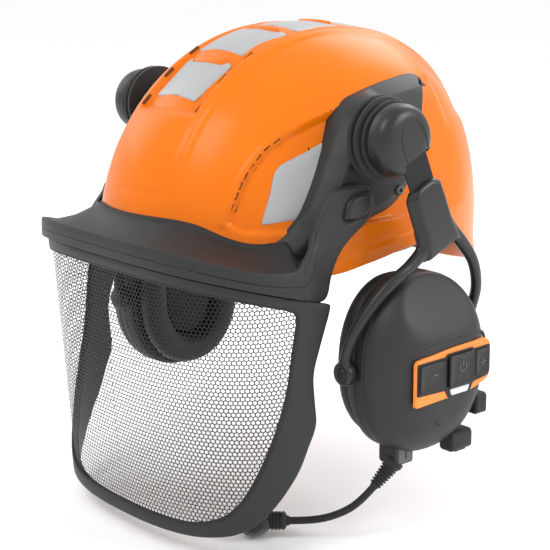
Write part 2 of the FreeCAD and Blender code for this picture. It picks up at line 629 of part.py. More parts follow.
def build_cup():
    wall = size("cup_wall")
    outer = oval_loft("cover_outside", cover_sections(0))
    inner = oval_loft("cover_inside", cover_sections(wall))
    plain = cut("cover_plain", outer, inner)
    mirrored("cup_cover_right", plain)
    middle = ("sizes.cup_center_y", "sizes.cup_center_z - 1")
    depth = "sizes.cup_outer_x - sizes.cup_inner_x"
    body = oval_prism("cup_outside", "sizes.cup_half_width", "sizes.cup_half_height", "sizes.cup_inner_x",
                      depth + " - 0.1", *middle)
    hollow = oval_prism("cup_hollow", f"sizes.cup_half_width - {wall}", f"sizes.cup_half_height - {wall}",
                        "sizes.cup_inner_x + 2.5", depth, *middle)
    ear = oval_prism("cup_ear", "sizes.ear_half_width", "sizes.ear_half_height", "sizes.cup_inner_x - 1",
                     "10", *middle)
    bore = cylinder("fork_bore", "sizes.fork_pin_radius + sizes.running_gap", "200",
                    Vector(size("fork_axis_x"), -100, size("cup_center_z")), ALONG_Y)
    cup = publish("cup_body_left", cut("cup_body_left", body, hollow, ear, bore))
    mirrored("cup_body_right", cup)
    cushion = oval_loft("cushion_outside", [
        (f"sizes.cushion_half_width - {drawn_in}", f"sizes.cushion_half_height - {drawn_in}", x, *middle)
        for drawn_in, x in ((6, "sizes.cushion_inner_x"), (0, "sizes.cushion_inner_x + 6"),
                            (0, "sizes.cushion_inner_x + 12"), (4, "sizes.cup_inner_x - 0.1"))])
    hole = oval_loft("cushion_hole", [
        (f"sizes.ear_half_width + {wider}", f"sizes.ear_half_height + {wider}", x, *middle)
        for wider, x in ((6, "sizes.cushion_inner_x - 0.5"), (1, "sizes.cushion_inner_x + 6"),
                         (1, "sizes.cushion_inner_x + 12"), (1, "sizes.cup_inner_x + 1"))])
    left = publish("ear_cushion_left", cut("ear_cushion_left", cushion, hole))
    mirrored("ear_cushion_right", left)
    foam = publish("foam_insert_left", oval_prism("foam_insert_left", "sizes.ear_half_width - 0.5",
                                                  "sizes.ear_half_height - 0.5", "108", "9.5", *middle))
    mirrored("foam_insert_right", foam)
    profile = [(0, 0), (20, 0), (20, 3), (16, 8), (9, 9), (0, 9)]
    place = Vector(119.5, size("cup_center_y"), size("cup_center_z"))
    speaker = publish("speaker_left", turned_body("speaker_left", profile, place, ALONG_X))
    mirrored("speaker_right", speaker)
    return plain


# Left cup only: controls, electronics and the boom microphone.
def build_controls(plain):
    middle = FACE_MIDDLE_Z
    back, front = "sizes.panel_back_x", "sizes.panel_front_x"
    thick = f"{front} - {back}"
    field = [(-41, -56), (-10, -54.5), (27, -54), (28, -66), (27, -82), (0, -85.5), (-41, -86)]
    keys = {
        "minus_button": ([(-39, -78), (-15.5, -78), (-15.5, -60), (-39, -60)], 161.2),
        "power_button": ([(-13.5, -79), (10, -79), (10, -58), (-13.5, -58)], 162.6),
        "plus_button": ([(12, -76.5), (25.5, -76.5), (25.5, -59), (12, -59)], 161.2),
    }
    gap = size("button_gap")
    openings = []
    for name, (outline, outer_x) in keys.items():
        low, high = outline[0], outline[2]
        wide = [(low[0] - gap, low[1] - gap), (high[0] + gap, low[1] - gap), (high[0] + gap, high[1] + gap),
                (low[0] - gap, high[1] + gap)]
        openings.append(side_prism(name + "_opening", wide, back + " - 1", "10"))
        publish(name, side_prism(name, outline, back + " + 1.1", f"{outer_x} - {back} - 1.1"))
    light = side_prism("status_light", [(-10, -84.5), (6, -84.5), (7.5, -80.2), (-11.5, -80.2)],
                       back + " + 1", thick + " - 0.7")
    publish("status_light", light)
    blank = side_prism("panel_blank", field, back, thick)
    publish("control_panel", cut("control_panel", blank, *openings, light))
    recess = side_prism("panel_recess", field, back, "20")
    bottom = box("port_cover_bottom", Vector(139, 2, -129), Vector(151, 22, -117))
    rear = box("port_cover_rear", Vector(139, 29, -109), Vector(150, 37, -95))
    plug = box("boom_plug", Vector(121, -36, -133), Vector(138, -20, -119))
    publish("port_cover_bottom", bottom)
    publish("port_cover_rear", rear)
    doc.recompute()
    publish("boom_plug", cut("boom_plug_fitted", plug, doc.getObject("cover_outside"),
                             doc.getObject("cup_outside")))
    publish("cup_cover_left", cut("cup_cover_left", plain, recess, bottom, rear))
    board = box("circuit_board", Vector(148, -36, middle - 24), Vector(149.6, 20, middle + 24))
    battery = box("battery", Vector(137, -34, middle - 22), Vector(146, 14, middle + 22))
    publish("circuit_board", board)
    publish("battery", battery)


def rounded_path(points):
    """Straight runs joined by tangent arcs, each as large as its two runs allow."""
    edges, here = [], points[0]
    for before, corner, after in zip(points, points[1:], points[2:]):
        into, out = corner - before, after - corner
        reach = 0.45 * min(into.Length, out.Length)
        start = corner - into.normalize() * reach
        end = corner + out.normalize() * reach
        turn = (corner - before).getAngle(after - corner)
        inward = (start + end) * 0.5 - corner
        radius = reach / math.tan(turn / 2)
        print(f"boom bend radius {radius:.1f}")
        to_center = inward.Length + (radius ** 2 - (0.5 * (end - start).Length) ** 2) ** 0.5
        middle = corner + inward.normalize() * (to_center - radius)
        edges.append(Part.makeLine(here, start))
        edges.append(Part.Arc(start, middle, end).toShape())
        here = end
    edges.append(Part.makeLine(here, points[-1]))
    return Part.Wire(edges)


BOOM_ROUTE = [Vector(125.5, -42, -146), Vector(120, -50, -158), Vector(109, -60, -167.5),
              Vector(96, -71, -172.5), Vector(83, -81.5, -173.5)]


def build_boom():
    start, toward = BOOM_ROUTE[0], (BOOM_ROUTE[1] - BOOM_ROUTE[0]).normalize()
    relief_length = 20
    relief_start = start - toward * relief_length
    turn = Rotation(Z_AXIS, toward)
    relief = [(0, 0), (6.4, 0), (6.4, 3), (5, 3.4), (4.2, relief_length), (0, relief_length)]
    blank = turned_body("relief_blank", relief, relief_start, turn)
    publish("boom_strain_relief", cut("boom_strain_relief", blank, nodes["boom_plug"]))
    radius = size("boom_diameter") / 2
    path = rounded_path(BOOM_ROUTE)
    ring = Part.Wire(Part.makeCircle(radius, start, toward))
    tube = path.makePipeShell([ring], True, True)
    swept = math.pi * radius ** 2 * path.Length
    print(f"boom length {path.Length:.1f}, volume ratio {tube.Volume / swept:.4f}")
    publish("mic_boom", feature("mic_boom", tube))
    end, away = BOOM_ROUTE[-1], (BOOM_ROUTE[-1] - BOOM_ROUTE[-2]).normalize()
    out = Rotation(Z_AXIS, away)
    collar = [(0, 0), (4, 0), (6, 2), (6, 11), (0, 11)]
    publish("mic_collar", turned_body("mic_collar", collar, end, out))
    capsule = [(0, 11), (4.5, 11), (4.5, 20), (0, 20)]
    publish("mic_capsule", turned_body("mic_capsule", capsule, end, out))
    foam = doc.addObject("Part::Ellipsoid", "foam_blank")
    foam.Radius1, foam.Radius2, foam.Radius3 = 12, 15, 10
    foam.Placement = Placement(end + away * 21, Rotation(Z_AXIS, math.degrees(math.atan2(away.y, away.x))))
    publish("mic_windscreen", cut("mic_windscreen", foam, nodes["mic_capsule"], nodes["mic_collar"]))


def write_parts():
    doc.recompute()
    for thing in doc.Objects:
        if {"Invalid", "Error"} & set(thing.State):
            raise RuntimeError(f"{thing.Label} failed: {thing.State}")
    for name, thing in nodes.items():
        shape = thing.Shape
        if shape.isNull() or not shape.isValid() or not shape.Solids:
            raise RuntimeError(f"{name} has no sound solid")
        span = shape.BoundBox
        print(f"{name}: {len(shape.Solids)} solid(s), {shape.Volume / 1000:.2f} cm3, "
              f"x {span.XMin:.1f}..{span.XMax:.1f} y {span.YMin:.1f}..{span.YMax:.1f} "
              f"z {span.ZMin:.1f}..{span.ZMax:.1f}")
        shape.exportStep(f"parts/{name}.step")


build_shell()
build_reflectors()
build_side_plates()
build_harness()
build_ratchet()
build_peak()
build_visor_wall()
build_visor_arms()
build_swivel()
build_yoke()
build_controls(build_cup())
build_boom()
write_parts()
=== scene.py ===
import math

import bmesh
import bpy
import numpy as np
from mathutils import Matrix, Vector, geometry, noise


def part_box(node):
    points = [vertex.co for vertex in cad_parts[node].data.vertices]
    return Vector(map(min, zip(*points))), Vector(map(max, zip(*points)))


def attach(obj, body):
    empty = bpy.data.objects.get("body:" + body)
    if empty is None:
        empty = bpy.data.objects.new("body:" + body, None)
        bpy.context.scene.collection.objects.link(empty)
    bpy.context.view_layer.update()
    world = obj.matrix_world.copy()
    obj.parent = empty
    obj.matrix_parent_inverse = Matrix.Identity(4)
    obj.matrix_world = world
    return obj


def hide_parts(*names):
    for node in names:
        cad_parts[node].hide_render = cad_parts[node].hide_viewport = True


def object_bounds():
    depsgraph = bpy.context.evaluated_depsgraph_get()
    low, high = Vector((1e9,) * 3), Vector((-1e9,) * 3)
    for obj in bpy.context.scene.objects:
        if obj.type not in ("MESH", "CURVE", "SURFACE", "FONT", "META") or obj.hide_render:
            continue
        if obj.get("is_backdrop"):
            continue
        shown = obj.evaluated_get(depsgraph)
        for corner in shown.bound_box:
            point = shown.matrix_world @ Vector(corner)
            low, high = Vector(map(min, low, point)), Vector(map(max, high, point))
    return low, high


bl_info = {
    "name": "Forestry Helmet",
    "version": (1, 0, 0),
    "blender": (4, 5, 0),
    "location": "View3D > Sidebar > Helmet",
    "description": "Builds a forestry helmet with a mesh visor and ear muffs around its packed frame",
    "category": "Add Mesh",
}

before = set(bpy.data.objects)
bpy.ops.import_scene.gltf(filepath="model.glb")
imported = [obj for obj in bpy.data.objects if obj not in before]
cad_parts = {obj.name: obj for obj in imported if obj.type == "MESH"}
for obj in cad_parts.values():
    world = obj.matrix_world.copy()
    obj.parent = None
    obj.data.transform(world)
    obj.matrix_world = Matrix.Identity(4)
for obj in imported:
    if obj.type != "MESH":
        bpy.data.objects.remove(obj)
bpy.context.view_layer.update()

# Sizes below are in millimetres; a piece's mesh is scaled to metres when it is made.
MM = 0.001
SIDES = (("left", 1), ("right", -1))
MERGE = 0.004
CUSHION_POWER = 2.15
PAD_CORNERS = 16
PAD_EXPONENT = 0.6
SIM_FRAMES = 20


def corners(node):
    low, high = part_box(node)
    return low / MM, high / MM


# ---------------------------------------------------------------- shapes

def smoothstep(value):
    value = np.clip(value, 0, 1)
    return value * value * (3 - 2 * value)


def flowing(points, steps=8):
    """A smooth open curve through the points (Catmull-Rom)."""
    points = [np.array(p, float) for p in points]
    padded = [2 * points[0] - points[1]] + points + [2 * points[-1] - points[-2]]
    curve = []
    for a, b, c, d in zip(padded, padded[1:], padded[2:], padded[3:]):
        for step in range(steps):
            t = step / steps
            curve.append(0.5 * (2 * b + (c - a) * t + (2 * a - 5 * b + 4 * c - d) * t ** 2
                                + (3 * b - a - 3 * c + d) * t ** 3))
    return curve + [points[-1]]


def rounded(points, radius, steps=5):
    """A closed outline whose corners are rounded; radius is one number or one for each corner."""
    points = [np.array(p, float) for p in points]
    radii = [radius] * len(points) if np.isscalar(radius) else radius
    result = []
    for here, (corner, size) in enumerate(zip(points, radii)):
        before, after = points[here - 1] - corner, points[(here + 1) % len(points)] - corner
        reach = min(size, 0.48 * np.linalg.norm(before), 0.48 * np.linalg.norm(after))
        start = corner + before / np.linalg.norm(before) * reach
        end = corner + after / np.linalg.norm(after) * reach
        for step in range(steps + 1):
            t = step / steps
            result.append((1 - t) ** 2 * start + 2 * t * (1 - t) * corner + t ** 2 * end)
    return result


def resampled(points, count, closed=False):
    """Evenly spaced points along a line."""
    points = np.array(points, float)
    if closed:
        points = np.vstack([points, points[:1]])
    along = np.concatenate([[0], np.cumsum(np.linalg.norm(np.diff(points, axis=0), axis=1))])
    at = np.linspace(0, along[-1], count + 1)[:-1] if closed else np.linspace(0, along[-1], count)
    return np.stack([np.interp(at, along, points[:, axis]) for axis in range(points.shape[1])], axis=1)


def anticlockwise(outline):
    outline = np.array(outline, float)
    x, y = outline.T
    area = np.sum(x * np.roll(y, -1) - np.roll(x, -1) * y)
    return outline if area > 0 else outline[::-1]


def inset(outline, distance):
    """An anticlockwise closed outline drawn in by a distance."""
    if not distance:
        return outline
    before = outline - np.roll(outline, 1, axis=0)
    after = np.roll(outline, -1, axis=0) - outline
    normals = []
    for run in (before, after):
        run = run / np.maximum(np.linalg.norm(run, axis=1), 1e-9)[:, None]
        normals.append(np.stack([-run[:, 1], run[:, 0]], axis=1))
    middle = normals[0] + normals[1]
    middle /= np.maximum(np.linalg.norm(middle, axis=1), 1e-9)[:, None]
    stretch = np.clip(np.sum(middle * normals[0], axis=1), 0.5, 1)
    return outline + middle * (distance / stretch)[:, None]


def inside(points, outline):
    """Which points lie inside a closed outline."""
    result = np.zeros(len(points), bool)
    for a, b in zip(outline, np.roll(outline, -1, axis=0)):
        crosses = (a[1] > points[:, 1]) != (b[1] > points[:, 1])
        run = b[1] - a[1] if abs(b[1] - a[1]) > 1e-12 else 1e-12
        result ^= crosses & (points[:, 0] < (b[0] - a[0]) * (points[:, 1] - a[1]) / run + a[0])
    return result


def distance_to(points, outline, closed=True):
    """Distance from each point to an outline."""
    best = np.full(len(points), 1e9)
    ends = np.roll(outline, -1, axis=0)
    pairs = list(zip(outline, ends)) if closed else list(zip(outline, outline[1:]))
    for a, b in pairs:
        run = b - a
        t = np.clip((points - a) @ run / max(run @ run, 1e-12), 0, 1)
        best = np.minimum(best, np.linalg.norm(points - a - t[:, None] * run, axis=1))
    return best


def patch(outline, spacing):
    """Triangles that fill an outline, with extra points inside it."""
    low, high = outline.min(axis=0), outline.max(axis=0)
    grid = np.array([(a, b) for a in np.arange(low[0], high[0], spacing)
                     for b in np.arange(low[1], high[1], spacing)]).reshape(-1, 2)
    grid = grid[inside(grid, outline)] if len(grid) else grid
    grid = grid[distance_to(grid, outline) > 0.5 * spacing] if len(grid) else grid
    edges = [(i, (i + 1) % len(outline)) for i in range(len(outline))]
    points = [Vector(p) for p in np.vstack([outline, grid])]
    verts, _, faces, *_ = geometry.delaunay_2d_cdt(points, edges, [], 1, 1e-5)
    return [tuple(v) for v in verts], [list(f) for f in faces]


def strip(count, start_a, start_b):
    """Quads between two closed rows of vertices."""
    return [[start_a + i, start_a + (i + 1) % count, start_b + (i + 1) % count, start_b + i]
            for i in range(count)]


def raised(outline, levels, place, spacing=4, back=True):
    """A stepped solid: levels are (inset, height), and place turns (a, b, height) into a point."""
    outline = anticlockwise(outline)
    verts, faces = [], []
    for distance, height in levels:
        verts += [place(a, b, height) for a, b in inset(outline, distance)]
    count = len(outline)
    for row in range(len(levels) - 1):
        faces += strip(count, row * count, (row + 1) * count)
    ends = [(levels[-1], False)] + ([(levels[0], True)] if back else [])
    for (distance, height), turned in ends:
        points, triangles = patch(inset(outline, distance), spacing)
        start = len(verts)
        verts += [place(a, b, height) for a, b in points]
        faces += [[start + i for i in (reversed(f) if turned else f)] for f in triangles]
    return verts, faces


def loft(rings, caps=True):
    """Quads between rings of equal length; caps closes the end rings with fans."""
    verts = [tuple(p) for ring in rings for p in ring]
    count = len(rings[0])
    faces = []
    for row in range(len(rings) - 1):
        faces += strip(count, row * count, (row + 1) * count)
    if caps:
        for row, flip in ((0, True), (len(rings) - 1, False)):
            middle = len(verts)
            verts.append(tuple(np.mean(rings[row], axis=0)))
            for i in range(count):
                fan = [row * count + i, row * count + (i + 1) % count, middle]
                faces.append(fan[::-1] if flip else fan)
    return verts, faces


def ring_loft(rings):
    """A loft whose last ring meets its first."""
    verts, faces = loft(rings, caps=False)
    count = len(rings[0])
    return verts, faces + strip(count, (len(rings) - 1) * count, 0)


def lathe(profile, origin, axis, segments=72):
    """A turned solid: profile is (radius, distance along the axis)."""
    turn = Vector((0, 0, 1)).rotation_difference(Vector(axis)).to_matrix()
    rings = []
    for radius, along in profile:
        ring = []
        for step in range(segments):
            angle = 2 * math.pi * step / segments
            point = Vector((radius * math.cos(angle), radius * math.sin(angle), along))
            ring.append(tuple(turn @ point + Vector(origin)))
        rings.append(ring)
    return loft(rings)


def squarish(step, count, exponent):
    """Cosine and sine of one step round a circle, drawn towards a square as the exponent falls below 1."""
    angle = 2 * math.pi * step / count
    return [math.copysign(abs(value) ** exponent, value) for value in (math.cos(angle), math.sin(angle))]


def oval_ring(half_wide, half_tall, x, center, power=CUSHION_POWER, count=112):
    """A ring of points round an oval in side view; the first coordinate of center is along Y."""
    ring = []
    for step in range(count):
        across, up = squarish(step, count, 2 / power)
        ring.append((x, center[0] + half_wide * across, center[1] + half_tall * up))
    return ring


def arc_pad(node, wide, deep, center, thick, slack, share, start, sweep, steps):
    """A bent pad as tall as a share of the CAD node: an arc, in degrees, round an oval in plan view."""
    low, high = corners(node)
    middle, half = (low.z + high.z) / 2, (high.z - low.z) / 2
    rings = []
    for step in range(steps + 1):
        angle = math.radians(start + sweep * step / steps)
        ring = []
        for corner in range(PAD_CORNERS):
            across, up = squarish(corner, PAD_CORNERS, PAD_EXPONENT)
            out = thick * across - slack
            ring.append(((wide + out) * math.cos(angle), center + (deep + out) * math.sin(angle),
                         middle + share * half * up))
        rings.append(ring)
    return loft(rings)


def hoop(path, radius, segments, outward):
    """A round bead along a closed path; outward gives the direction away from the part at each point."""
    rings = []
    for here, (point, out) in enumerate(zip(path, outward)):
        run = Vector(path[(here + 1) % len(path)]) - Vector(path[here - 1])
        side = run.cross(out).normalized()
        over = side.cross(run).normalized()
        rings.append([tuple(Vector(point) + side * radius * math.cos(a) + over * radius * math.sin(a))
                      for a in (2 * math.pi * s / segments for s in range(segments))])
    return ring_loft(rings)


def sideways(a, b, height):
    """A place for raised: a and b are Y and Z, and the height is X."""
    return (height, a, b)


def tube(path, radius, segments=20, squash=1.0, up=(0, 0, 1)):
    """A round or flattened tube along a path; radius is a number or one for each point."""
    path = [Vector(p) for p in path]
    radii = [radius] * len(path) if np.isscalar(radius) else radius
    rings = []
    for here, (point, size) in enumerate(zip(path, radii)):
        run = path[min(here + 1, len(path) - 1)] - path[max(here - 1, 0)]
        side = run.cross(Vector(up)).normalized()
        over = side.cross(run).normalized()
        rings.append([tuple(point + side * size * math.cos(a) + over * size * squash * math.sin(a))
                      for a in (2 * math.pi * s / segments for s in range(segments))])
    return loft(rings)


def joined(*parts):
    """Several (verts, faces) as one."""
    verts, faces = [], []
    for part_verts, part_faces in parts:
        start = len(verts)
        verts += list(part_verts)
        faces += [[start + i for i in face] for face in part_faces]
    return verts, faces


def flipped(part):
    """The same part on the wearer's other side."""
    verts, faces = part
    return [(-v[0], v[1], v[2]) for v in verts], [list(reversed(f)) for f in faces]


# ---------------------------------------------------------------- pieces

def new_object(name, part):
    mesh = bpy.data.meshes.new(name)
    verts, faces = part
    mesh.from_pydata([(v[0] * MM, v[1] * MM, v[2] * MM) for v in verts], [], faces)
    work = bmesh.new()
    work.from_mesh(mesh)
    bmesh.ops.remove_doubles(work, verts=work.verts, dist=MERGE * MM)
    bmesh.ops.recalc_face_normals(work, faces=work.faces)
    work.to_mesh(mesh)
    work.free()
    obj = bpy.data.objects.new(name, mesh)
    bpy.context.scene.collection.objects.link(obj)
    return obj


def settled(obj):
    """Turns the object's modifiers into plain mesh."""
    if obj.modifiers:
        bpy.context.view_layer.update()
        made = bpy.data.meshes.new_from_object(obj.evaluated_get(bpy.context.evaluated_depsgraph_get()))
        obj.modifiers.clear()
        obj.data = made
    return obj


def beveled(obj, width, segments=3, angle=30):
    bevel = obj.modifiers.new("edges", "BEVEL")
    bevel.width = width * MM
    bevel.segments = segments
    bevel.limit_method = "ANGLE"
    bevel.angle_limit = math.radians(angle)
    return settled(obj)


def dressed(obj, finish, sharp=38):
    """Gives a piece its finish and shading; its faces all take the one material."""
    obj.data.materials.clear()
    obj.data.materials.append(FINISHES[finish])
    obj.data.polygons.foreach_set("material_index", [0] * len(obj.data.polygons))
    obj.data.shade_smooth()
    obj.data.set_sharp_from_angle(angle=math.radians(sharp))
    return obj


def own(obj, body, slot, finish, sharp=38):
    """Finishes an object as a piece that rides on a body."""
    dressed(obj, finish, sharp)
    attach(obj, body)
    return obj


def mirrored(obj, name):
    """A copy of a finished mesh on the wearer's other side."""
    other = bpy.data.objects.new(name, obj.data.copy())
    bpy.context.scene.collection.objects.link(other)
    other.data.transform(Matrix.Scale(-1, 4, (1, 0, 0)))
    other.data.flip_normals()
    return other


def piece(name, part, body, slot, finish, nodes=(), sharp=38, bevel=0.0, segments=3):
    """A finished piece that rides on a body and stands for the CAD nodes named."""
    obj = new_object(name, part)
    if bevel:
        beveled(obj, bevel, segments)
    own(obj, body, slot, finish, sharp)
    if nodes:
        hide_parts(*nodes)
    return obj


def pair(name, part, body, slot, finish, nodes=(), **looks):
    """The same piece on both sides; {side} in body and nodes becomes left or right."""
    made = []
    for side, sign in SIDES:
        mine = part if sign > 0 else flipped(part)
        made.append(piece(f"{name}_{side}", mine, body.format(side=side), slot, finish,
                          [n.format(side=side) for n in nodes], **looks))
    return made


def repaint(node, finish):
    """A CAD node that stays gets its own finish."""
    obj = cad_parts[node]
    for slot in obj.material_slots:
        slot.material = FINISHES[finish]
    if not obj.material_slots:
        obj.data.materials.append(FINISHES[finish])


# ---------------------------------------------------------------- materials

FINISHES = {}


class Socket:
    """A shader number, so that shader maths reads as an expression."""

    def __init__(self, finish, output):
        self.finish = finish
        self.output = output

    def maths(self, operation, first, second=None):
        values = {0: first} if second is None else {0: first, 1: second}
        node = self.finish.node("ShaderNodeMath", {"operation": operation}, values)
        return Socket(self.finish, node.outputs[0])

    def __add__(self, other):
        return self.maths("ADD", self, other)

    def __sub__(self, other):
        return self.maths("SUBTRACT", self, other)

    def __mul__(self, other):
        return self.maths("MULTIPLY", self, other)

    def __rsub__(self, other):
        return self.maths("SUBTRACT", other, self)

    def __pow__(self, other):
        return self.maths("POWER", self, other)

    def __lt__(self, other):
        return self.maths("LESS_THAN", self, other)

    __radd__ = __add__
    __rmul__ = __mul__

    def sine(self):
        return self.maths("SINE", self)


class Finish:
    """A material made of nodes round one principled shader."""

    def __init__(self, name, **constants):
        self.material = bpy.data.materials.new(name)
        self.material.use_nodes = True
        self.tree = self.material.node_tree
        self.shader = self.tree.nodes["Principled BSDF"]
        self.shader.inputs["Specular IOR Level"].default_value = 0.38
        for socket, value in constants.items():
            self.shader.inputs[socket.replace("_", " ")].default_value = value
        self.place = self.node("ShaderNodeTexCoord").outputs["Object"]

    def node(self, kind, settings=None, values=None):
        node = self.tree.nodes.new(kind)
        for name, value in (settings or {}).items():
            setattr(node, name, value)
        for name, value in (values or {}).items():
            self.feed(node.inputs[name], value)
        return node

    def feed(self, target, value):
        if isinstance(value, Socket):
            value = value.output
        if isinstance(value, bpy.types.NodeSocket):
            self.tree.links.new(value, target)
        else:
            target.default_value = value

    def noise(self, scale, detail=3.0, rough=0.5):
        node = self.node("ShaderNodeTexNoise", None,
                         {"Vector": self.place, "Scale": scale, "Detail": detail, "Roughness": rough})
        return Socket(self, node.outputs[0])

    def cells(self, scale, feature="F1"):
        node = self.node("ShaderNodeTexVoronoi", {"feature": feature},
                         {"Vector": self.place, "Scale": scale})
        return Socket(self, node.outputs["Distance"])

    def axes(self):
        node = self.node("ShaderNodeSeparateXYZ", None, {0: self.place})
        return [Socket(self, output) for output in node.outputs]

    def mix(self, amount, first, second):
        node = self.node("ShaderNodeMix", {"data_type": "RGBA"})
        self.feed(node.inputs["Factor"], amount)
        self.feed(node.inputs[6], (*first, 1) if isinstance(first, tuple) else first)
        self.feed(node.inputs[7], (*second, 1) if isinstance(second, tuple) else second)
        return node.outputs[2]

    def ranged(self, value, low, high):
        node = self.node("ShaderNodeMapRange", None, {0: value, 3: low, 4: high})
        return Socket(self, node.outputs[0])

    def looks(self, color=None, roughness=None, height=None, distance=0.1, strength=1.0):
        """Feeds the shader; the bump's distance is in millimetres."""
        if color is not None:
            self.feed(self.shader.inputs["Base Color"], color)
        if roughness is not None:
            self.feed(self.shader.inputs["Roughness"], roughness)
        if height is not None:
            bump = self.node("ShaderNodeBump", None, {"Height": height, "Distance": distance * MM,
                                                      "Strength": strength})
            self.feed(self.shader.inputs["Normal"], bump.outputs[0])
        return self.material


def tint(color, factor):
    return tuple(min(1.0, c * factor) for c in color)


def molded(name, color, rough=0.5, grain=900, depth=0.04, wear=0.12, **constants):
    """Moulded plastic with a fine spark-eroded grain and slightly uneven gloss."""
    finish = Finish(name, **constants)
    broad, fine = finish.noise(35, 4), finish.noise(grain, 2, 0.6)
    shade = finish.mix(broad, tint(color, 1 - wear), tint(color, 1 + wear))
    return finish.looks(shade, finish.ranged(broad * 0.6 + fine * 0.4, rough - 0.07, rough + 0.07),
                        fine, depth)


def leather(name, color):
    """Soft foil over foam, with a close pebbled grain."""
    finish = Finish(name, Sheen_Weight=0.15)
    pebbles, creases, broad = finish.cells(900), finish.noise(160, 5, 0.6), finish.noise(28, 3)
    shade = finish.mix(broad, tint(color, 0.8), tint(color, 1.35))
    return finish.looks(shade, finish.ranged(pebbles, 0.42, 0.62), pebbles * 0.5 + creases, 0.25)


def foam(name, color):
    finish = Finish(name, Sheen_Weight=0.3)
    pores, broad = finish.cells(1100), finish.noise(90, 5)
    # Pore centres are painted darker and cell walls lighter: painted shade in the foam's hollows and painted
    # light on its struts
    shade = finish.mix(pores, tint(color, 0.35), tint(color, 1.5))
    return finish.looks(shade, finish.ranged(broad, 0.85, 0.97), pores + broad * 0.5, 0.6)


def woven(name, color, thread):
    """A plain weave; thread is the width of one thread in millimetres."""
    finish = Finish(name, Sheen_Weight=0.25)
    x, y, z = finish.axes()
    turns = math.pi / (thread * MM)
    rows = (z * turns).sine() * ((x + y) * turns).sine()
    fuzz = finish.noise(2200, 2)
    # Thread crowns are painted lighter and the dips between threads darker: painted light and shade of the
    # weave
    shade = finish.mix(finish.ranged(rows, 0, 1), tint(color, 0.6), tint(color, 1.5))
    return finish.looks(shade, finish.ranged(fuzz, 0.75, 0.92), rows + fuzz * 0.4, 0.15)


def glossy_shell(color):
    """Through-coloured shell plastic: satin gloss with a faint ripple."""
    finish = Finish("shell_orange", Coat_Weight=0.1, Coat_Roughness=0.22, Specular_IOR_Level=0.15)
    broad, ripple, specks = finish.noise(9, 2), finish.noise(120, 2), finish.noise(1500, 1)
    shade = finish.mix(broad, tint(color, 0.96), tint(color, 1.03))
    return finish.looks(shade, finish.ranged(specks, 0.26, 0.36), ripple + specks * 0.08, 0.035)


def reflector_film(color):
    """Retroreflective film: grey, with a tiny honeycomb of cells."""
    finish = Finish("reflector_film", Metallic=0.15)
    cells, broad = finish.cells(1300, "DISTANCE_TO_EDGE"), finish.noise(30, 3)
    shade = finish.mix(finish.ranged(cells, 0.0, 1.0), tint(color, 0.86), tint(color, 1.06))
    return finish.looks(shade, finish.ranged(broad, 0.34, 0.46), cells, 0.05)


def bare_metal(name, color, rough):
    finish = Finish(name, Metallic=1.0)
    brushed, broad = finish.noise(1400, 4, 0.7), finish.noise(60, 3)
    shade = finish.mix(broad, tint(color, 0.85), tint(color, 1.1))
    return finish.looks(shade, finish.ranged(brushed, rough - 0.06, rough + 0.1), brushed, 0.02)


def painted_wire(color):
    """Etched steel mesh, painted black; the paint thins on the edges of the wires."""
    finish = Finish("mesh_paint", Metallic=0.4)
    fine, broad = finish.noise(1800, 2), finish.noise(45, 3)
    shade = finish.mix(broad, tint(color, 0.8), tint(color, 1.5))
    return finish.looks(shade, finish.ranged(fine, 0.35, 0.5), fine, 0.02)


def lacquered_board(color):
    finish = Finish("board_lacquer", Coat_Weight=0.4)
    tracks, broad = finish.cells(500, "DISTANCE_TO_EDGE"), finish.noise(200, 3)
    shade = finish.mix(tracks < 0.06, color, tint(color, 2.2))
    return finish.looks(shade, finish.ranged(broad, 0.3, 0.45), tracks, 0.05)


def make_finishes(colors):
    """Every material of the helmet, from the panel's colours."""
    orange, black, grey = tuple(colors.orange), tuple(colors.black), tuple(colors.grey)
    FINISHES.update({
        "shell": glossy_shell(orange),
        "film": reflector_film(grey),
        "black": molded("black_plastic", black, 0.5, 1400, 0.05),
        "satin": molded("satin_black_plastic", tint(black, 0.85), 0.36, 900, 0.02),
        "key": molded("key_plastic", tint(black, 0.5), 0.4, 1500, 0.03),
        "mark": molded("key_marks", tint(black, 6.0), 0.5, 1500, 0.02),
        "rubber": molded("soft_rubber", tint(black, 0.55), 0.68, 700, 0.05, Sheen_Weight=0.1),
        "panel": molded("panel_orange", tuple(colors.panel), 0.42, 1500, 0.02, 0.04),
        "light": molded("light_cover", tuple(colors.light), 0.3, 900, 0.01, 0.05, Coat_Weight=0.3),
        "leather": leather("cushion_foil", tint(black, 0.6)),
        "foam": foam("open_foam", tint(black, 0.8)),
        "webbing": woven("webbing_weave", tint(black, 0.9), 0.9),
        "mesh": painted_wire(tint(black, 0.6)),
        "steel": bare_metal("screw_steel", (0.12, 0.12, 0.125), 0.35),
        "strap": molded("strap_paint", tint(black, 0.35), 0.42, 1200, 0.03, Metallic=0.3),
        # Vent bars: this deep brown-orange is painted shade, standing in for the dark inside of the shell's
        # vent slots
        "slot": molded("vent_shade", tint(orange, 0.16), 0.7, 900, 0.03),
        "board": lacquered_board((0.02, 0.2, 0.06)),
        "battery": molded("battery_wrap", (0.08, 0.14, 0.3), 0.4, 800, 0.02),
        "speaker": molded("speaker_grey", (0.12, 0.12, 0.12), 0.5, 900, 0.05),
    })


# ---------------------------------------------------------------- the dome

